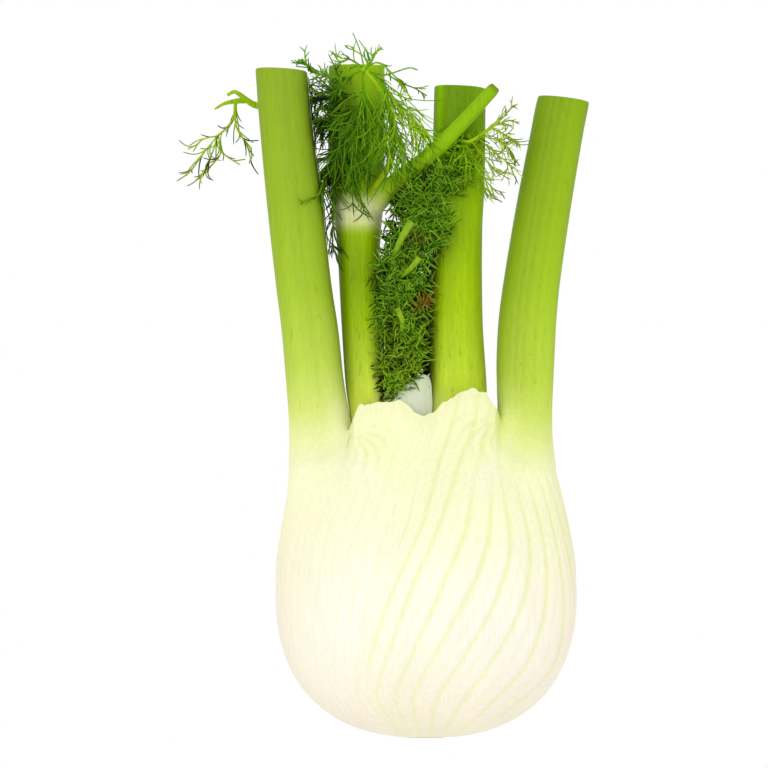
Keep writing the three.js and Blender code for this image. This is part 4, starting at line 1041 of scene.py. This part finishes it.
def thread_points(root, ahead, reach, hang, zone, style, rng):
    """Points along many threads at once. Each bends its own way, sags and stays clear of the stalks."""
    count = len(root)
    radius, steps = style["radius"], style["steps"]
    bend = rng.uniform(-1, 1, (count, 3)) * (1, 1, 0.6) * style["curl"]
    heading = unit(ahead)
    places = [root]
    for _ in range(steps):
        stray = rng.uniform(-1, 1, (count, 3)) * style["jitter"]
        heading = unit(heading + (DOWN * SAG * hang[:, None] + bend) / steps + stray)
        place = places[-1] + heading * reach[:, None] / steps
        place[:, 0] = kept_in_zone(place[:, 0], place[:, 1], zone, radius)
        floor = np.maximum(stalk_top(place[:, 0], place[:, 1]) + radius + STALK_GAP, radius + GROUND_GAP)
        blocked = floor - place[:, 2] > STEEPEST_LIFT
        place[blocked] = places[-1][blocked] + CLIMB
        place[~blocked, 2] = np.maximum(place[~blocked, 2], floor[~blocked])
        places.append(place)
    return np.stack(places, axis=1)


def closed_tube(rows, sides):
    """Faces of a tube with both its ends."""
    end = (rows - 1) * sides
    ends = [tuple(range(sides))[::-1], tuple(range(end, end + sides))]
    return grid_faces(rows, sides, True) + ends


def shaded(tints, lit, rings, style):
    """Tints darkened where a frond gets less light, but not near its top where its style says so."""
    if "top_lit" in style:
        lit = np.maximum(lit, smooth(rings[..., 1], *style["top_lit"]))
    return tints * (style["shadow"] + (1 - style["shadow"]) * lit)[..., None]


def add_threads(parts, points, tint, style, rng):
    """Thin three-sided tubes along many routes at once, with painted shade where they lie deep in the frond.
    """
    count, levels = points.shape[:2]
    ahead = unit(np.gradient(points, axis=1))
    side = unit(np.cross(ahead, unit(rng.normal(size=(count, 1, 3)))))
    other = np.cross(ahead, side)
    deep = 1 - smooth(points[:, 0, 2], *style["depth"])
    radii = style["radius"] * (1 + style["swell"] * deep[:, None]) * np.linspace(1, 0.6, levels)
    radii[:, -1] *= 0.4
    turn = turns_round(THREAD_SIDES)[:, None]
    offset = np.cos(turn) * side[:, :, None] + np.sin(turn) * other[:, :, None]
    rings = points[:, :, None] + offset * radii[:, :, None, None]
    tipped = (np.linspace(0, 1, levels) ** style["tip_power"] * style["tip_share"])[:, None, None]
    tints = tint[:, None, None] * (1 - tipped) + linear(style["tip"]) * tipped
    lit = smooth(rings[..., 2], *style["depth"])
    lit = lit + (1 - deep[:, None, None] - lit) * style["even"]
    size = levels * THREAD_SIDES
    faces = closed_tube(levels, THREAD_SIDES)
    every = [tuple(i + n * size for i in face) for n in range(count) for face in faces]
    parts.add(rings, every, shaded(tints, lit, rings, style))


def forked(points, reach, style, rng):
    """Where finer threads leave a set of threads: their roots, headings, lengths and parent numbers."""
    parent = np.repeat(np.arange(len(points)), style["forks"])
    at = rng.integers(1, style["steps"] - 2, len(parent))
    root = points[parent, at]
    away = unit(points[parent, at + 1] - root)
    turn = rng.choice((-1, 1), len(parent)) * rng.uniform(*style["fork"], len(parent)) * 2
    aside = np.stack([-away[:, 1], away[:, 0], rng.uniform(-0.4, 0.4, len(parent))], axis=-1)
    return root, away + aside * turn[:, None], reach[parent] * rng.uniform(0.4, 0.8, len(parent)), parent


def outline_shoots(petiole, outline, number, heights, inset, rng):
    """More curly side shoots that fill an outline evenly, each bending from the stem to its own place."""
    line = spline(petiole, 100)
    low, high = outline[0][0], outline[-1][0]
    shoots = []

    def kept_inside(place):
        left, right = values_at(outline, place[1])
        place[0] = min(max(place[0], left + inset), max(right - inset, left + inset))
        place[1] = min(max(place[1], low + 3), high)
        return place

    for n in range(number):
        y = low + (high - low) * (n + rng.random()) / number
        left, right = values_at(outline, y)
        place = [rng.uniform(left, right), y, rng.choice(heights) + rng.uniform(0, 2)]
        target = kept_inside(np.array(place))
        start = line[min(int(np.searchsorted(line[:, 1], y - rng.uniform(3, 9))), 99)]
        swerve = np.array([rng.uniform(-2, 2), rng.uniform(-2, 2), rng.uniform(0, 1.5)])
        last = target + (rng.uniform(-2.5, 2.5), rng.uniform(-1.5, 2.5), rng.uniform(-0.5, 0.8))
        route = [start, (start + target) / 2 + swerve, target, kept_inside(last)]
        shoots.append((route, *SHOOT_GROWTH))
    return shoots


def add_stem(parts, route, thick, tint, sides, style=None):
    steps = (3 if sides < 6 else 5) * len(route)
    rings = tube_rings(spline(route, steps), np.linspace(*thick, steps + 1), sides)
    tints = np.broadcast_to(tint, rings.shape)
    if style:
        tints = shaded(tints, smooth(rings[..., 2], *style["depth"]), rings, style)
    parts.add(rings, closed_tube(steps + 1, sides), tints)


def thread_tint(name, place, rng):
    """A green between dark and bright, yellower to the right and on the small frond, brown in two spots,
    with painted shade on the large frond's lower left.
    """
    x, y, z = place
    if name == "young_frond" and z > DRIED_ABOVE:
        for (dried_x, dried_y), reach, colour in DRIED:
            if math.hypot(x - dried_x, y - dried_y) < reach:
                return linear(colour)
    darker, brighter = (FROND_DARK, FROND_MID) if rng.random() < 0.3 else (FROND_MID, FROND_BRIGHT)
    tint = mix(linear(darker), linear(brighter), rng.random())
    if name == "small_frond":
        yellowness = 0.7
        if rng.random() < 0.25:
            return linear(DRIED_TINT)
    elif name == "right_frond":
        yellowness = 0.7 * smooth(x, 12, 22)
    elif name == "large_frond":
        yellowness = 0.5 * smooth(x, -24, -6) * smooth(y, 140, 168)
        # Painted shade on the lower left of the large frond
        tint = tint * (1 - 0.45 * (1 - smooth(x, -24, -12)) * (1 - smooth(y, 164, 176)))
    else:
        yellowness = 0.35 * (1 - smooth(y, 72, 96))
        tint = mix(tint, linear(FROND_DARK), 0.4 * smooth(y, 84, 112) * rng.random())
    return mix(tint, linear(FROND_YELLOW), yellowness)


def thread_roots(line, threads, reach, splay, style, rng):
    """Roots, headings and lengths of the threads along one sprig."""
    count = round(threads * style["count"])
    t = 0.08 + 0.9 * (np.arange(count) + rng.uniform(0, 0.8, count)) / max(count, 1)
    at = np.minimum((t * SPRIG_STEPS).astype(int), SPRIG_STEPS - 2)
    ahead = unit(line[at + 1] - line[at])
    flat = unit(stacked(-ahead[:, 1], ahead[:, 0], 0))
    raised = np.cross(ahead, flat)
    around = math.pi * (np.arange(count) % 2) + rng.uniform(-1.3, 1.3, count)
    out = flat * np.cos(around)[:, None] + raised * np.sin(around)[:, None]
    tilt = (splay * style["splay"] * rng.uniform(0.5, 1.3, count))[:, None]
    length = reach * style["reach"] * rng.uniform(0.5, 1.3, count) * (1 - 0.3 * t)
    return line[at], ahead * np.cos(tilt) + out * np.sin(tilt), length


def sprig_zone(name, number, route):
    if name == "large_frond" and number != IN_FRONT:
        return BESIDE
    if name == "young_frond" and route[-1][2] < DEEP_BELOW:
        return BETWEEN
    return FREE


def make_frond(name, material, seed):
    style = FRONDS[name]
    rng = np.random.default_rng(seed)
    picker = random.Random(seed)
    petiole = style["petiole"]
    parts = Parts()
    add_stem(parts, [style["foot"], *petiole], style["thick"], linear(PETIOLE_TINT), 10)
    sprigs = list(style["sprigs"])
    if name == "young_frond":
        sprigs += outline_shoots(petiole, *DEEP_SHOOTS, picker)
        sprigs += outline_shoots(petiole, *YOUNG_SHOOTS, picker)
        sprigs += [(route, *DEEP_GROWTH) for route in DEEP_STEMS]
        sprigs.append(BROWN_SPRIG)
        for stub, thick in YOUNG_STUBS:
            add_stem(parts, stub, thick, linear(STUB_TINT), 8)
            sprigs.append((stub, *STUB_GROWTH))
    if name == "right_frond":
        sprigs += outline_shoots(petiole, *RIGHT_SHOOTS, picker)
    rows = []
    for number, (route, thick, threads, reach, splay, hang) in enumerate(sprigs):
        sides = 6 if number < len(style["sprigs"]) else 4
        add_stem(parts, route, np.multiply(thick, style["stem_share"]), linear(style["stem"]), sides, style)
        root, heading, length = thread_roots(spline(route, SPRIG_STEPS), threads, reach, splay, style, rng)
        count = len(root)
        zone = np.full(count, sprig_zone(name, number, route))
        tint = np.reshape([thread_tint(name, place, picker) for place in root], (count, 3))
        rows.append((root, heading, length, np.full(count, float(hang)), zone, tint))
    root, heading, length, hang, zone, tint = (np.concatenate(each) for each in zip(*rows))
    points = thread_points(root, heading, length, hang, zone, style, rng)
    add_threads(parts, points, tint, style, rng)
    if style["forks"]:
        root, heading, length, parent = forked(points, length, style, rng)
        points = thread_points(root, heading, length, hang[parent], zone[parent], style, rng)
        add_threads(parts, points, tint[parent], style, rng)
    return parts.build(name + "_threads", material)


def flesh_material(name, roughness, subsurface, streaks, shine, contrast):
    """Moist leaf skin: the tint that the mesh carries, varied by fibres and clouds, with a soft shine."""
    material = bpy.data.materials.new(name)
    material.use_nodes = True
    nodes = material.node_tree.nodes
    links = material.node_tree.links
    shader = nodes["Principled BSDF"]

    def node(kind, inputs, output, operation=None):
        """A node whose inputs are values or linked outputs, and one of its own outputs."""
        made = nodes.new("ShaderNode" + kind)
        if operation:
            made.operation = operation
        for key, value in inputs.items():
            if isinstance(value, bpy.types.NodeSocket):
                links.new(value, made.inputs[key])
            else:
                made.inputs[key].default_value = value
        return made.outputs[output]

    place = node("TexCoord", {}, "Object")

    def noise(scale, detail):
        stretched = node("Mapping", {"Vector": place, "Scale": scale}, "Vector")
        return node("TexNoise", {"Vector": stretched, "Scale": 1.0, "Detail": detail}, "Fac")

    def remap(value, low, high, to_low, to_high):
        ends = {"From Min": low, "From Max": high, "To Min": to_low, "To Max": to_high}
        return node("MapRange", {"Value": value, **ends}, "Result")

    def times(a, b):
        return node("Math", {0: a, 1: b}, 0, "MULTIPLY")

    fibre = noise((1500, streaks, 1500), 3.0)
    cloud = noise((50, 22, 50), 2.0)
    dash = noise((1100, 170, 1100), 1.0)
    level = times(remap(fibre, 0.3, 0.7, 1 - contrast, 1 + contrast * 0.6),
                  remap(cloud, 0.3, 0.7, 1 - contrast * 0.7, 1 + contrast * 0.4))
    attribute = nodes.new("ShaderNodeAttribute")
    attribute.attribute_name = "tint"
    tint = attribute.outputs["Color"]
    green_skin = remap(node("SeparateColor", {0: tint}, 2), 0.3, 0.08, 0.0, 2.4 * contrast)
    flecks = times(remap(dash, 0.64, 0.72, 0.0, 1.0), green_skin)
    level = times(level, node("Math", {0: 1.0, 1: flecks}, 0, "SUBTRACT"))
    varied = node("VectorMath", {0: tint, "Scale": level}, "Vector", "SCALE")
    bump = node("Bump", {"Strength": 2.5 * contrast, "Distance": 0.0002, "Height": fibre}, "Normal")
    links.new(varied, shader.inputs["Base Color"])
    links.new(bump, shader.inputs["Normal"])
    shader.inputs["Roughness"].default_value = roughness
    shader.inputs["Subsurface Weight"].default_value = subsurface
    shader.inputs["Subsurface Radius"].default_value = (0.001, 0.001, 0.0006)
    shader.inputs["Subsurface Scale"].default_value = 1.0
    shader.inputs["Specular IOR Level"].default_value = shine
    return material


def add_piece(piece, node):
    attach(piece, "root")
    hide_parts(node)


def build_object():
    outer = flesh_material("outer_leaf_skin", 0.5, 0.05, 40, 0.1, 0.05)
    inner = flesh_material("stalk_skin", 0.45, 0.05, 30, 0.08, 0.08)
    thin = flesh_material("heart_skin", 0.5, 0.3, 40, 0.2, 0.03)
    dry = flesh_material("root_scar_skin", 0.75, 0.05, 500, 0.2, 0.1)
    feather = flesh_material("frond_skin", 0.5, 0.0, 300, 0.08, 0.15)
    add_piece(make_outer_leaf("right", outer, 21), "right_outer_leaf")
    add_piece(make_outer_leaf("left", outer, 22), "left_outer_leaf")
    add_piece(make_inner_leaf("left", inner, 23), "left_inner_leaf")
    add_piece(make_inner_leaf("right", inner, 24), "right_inner_leaf")
    add_piece(make_heart(thin), "heart_leaf")
    add_piece(make_root_plate(dry), "root_plate")
    for seed, name in enumerate(FRONDS):
        add_piece(make_frond(name, feather, 100 + seed), name)


def build_stage():
    """A white floor and an even white studio, as in the photograph, with two soft lights."""
    mesh = bpy.data.meshes.new("floor")
    corners = [(FLOOR_HALF * x, FLOOR_HALF * y, 0) for x, y in ((-1, -1), (1, -1), (1, 1), (-1, 1))]
    mesh.from_pydata(corners, [], [(0, 1, 2, 3)])
    floor = in_scene("floor", mesh)
    material = bpy.data.materials.new("floor_white")
    material.use_nodes = True
    shader = material.node_tree.nodes["Principled BSDF"]
    shader.inputs["Base Color"].default_value = (0, 0, 0, 1)
    shader.inputs["Roughness"].default_value = 1.0
    shader.inputs["Specular IOR Level"].default_value = 0.0
    shader.inputs["Emission Color"].default_value = (1, 1, 1, 1)
    shader.inputs["Emission Strength"].default_value = 1.0
    mesh.materials.append(material)
    world = bpy.data.worlds.new("studio")
    world.use_nodes = True
    background = world.node_tree.nodes["Background"]
    background.inputs["Color"].default_value = (1, 1, 1, 1)
    background.inputs["Strength"].default_value = 0.79
    bpy.context.scene.world = world
    add_light("key", (-0.35, 0.35, 1.2), 0.9, 4.1)
    add_light("fill", (0.6, -0.4, 1.0), 1.0, 1.4)


def add_light(name, place, size, power):
    data = bpy.data.lights.new(name, "AREA")
    data.shape = "DISK"
    data.size = size
    data.energy = power
    light = in_scene(name, data)
    light.location = place
    light.rotation_euler = (LIT_SPOT - Vector(place)).to_track_quat("-Z", "Y").to_euler()


def build_camera():
    """Looks straight down on the fennel, framed as in the photograph."""
    data = bpy.data.cameras.new("camera")
    data.lens = LENS
    data.sensor_width = SENSOR
    data.clip_end = 20
    camera = in_scene("camera", data)
    camera.location = (*FRAME_MIDDLE, FRAME_HEIGHT + FRAME_WIDTH * LENS / SENSOR)
    bpy.context.scene.camera = camera
    bpy.context.scene.view_settings.view_transform = "Standard"


build_stage()
build_camera()
build_object()
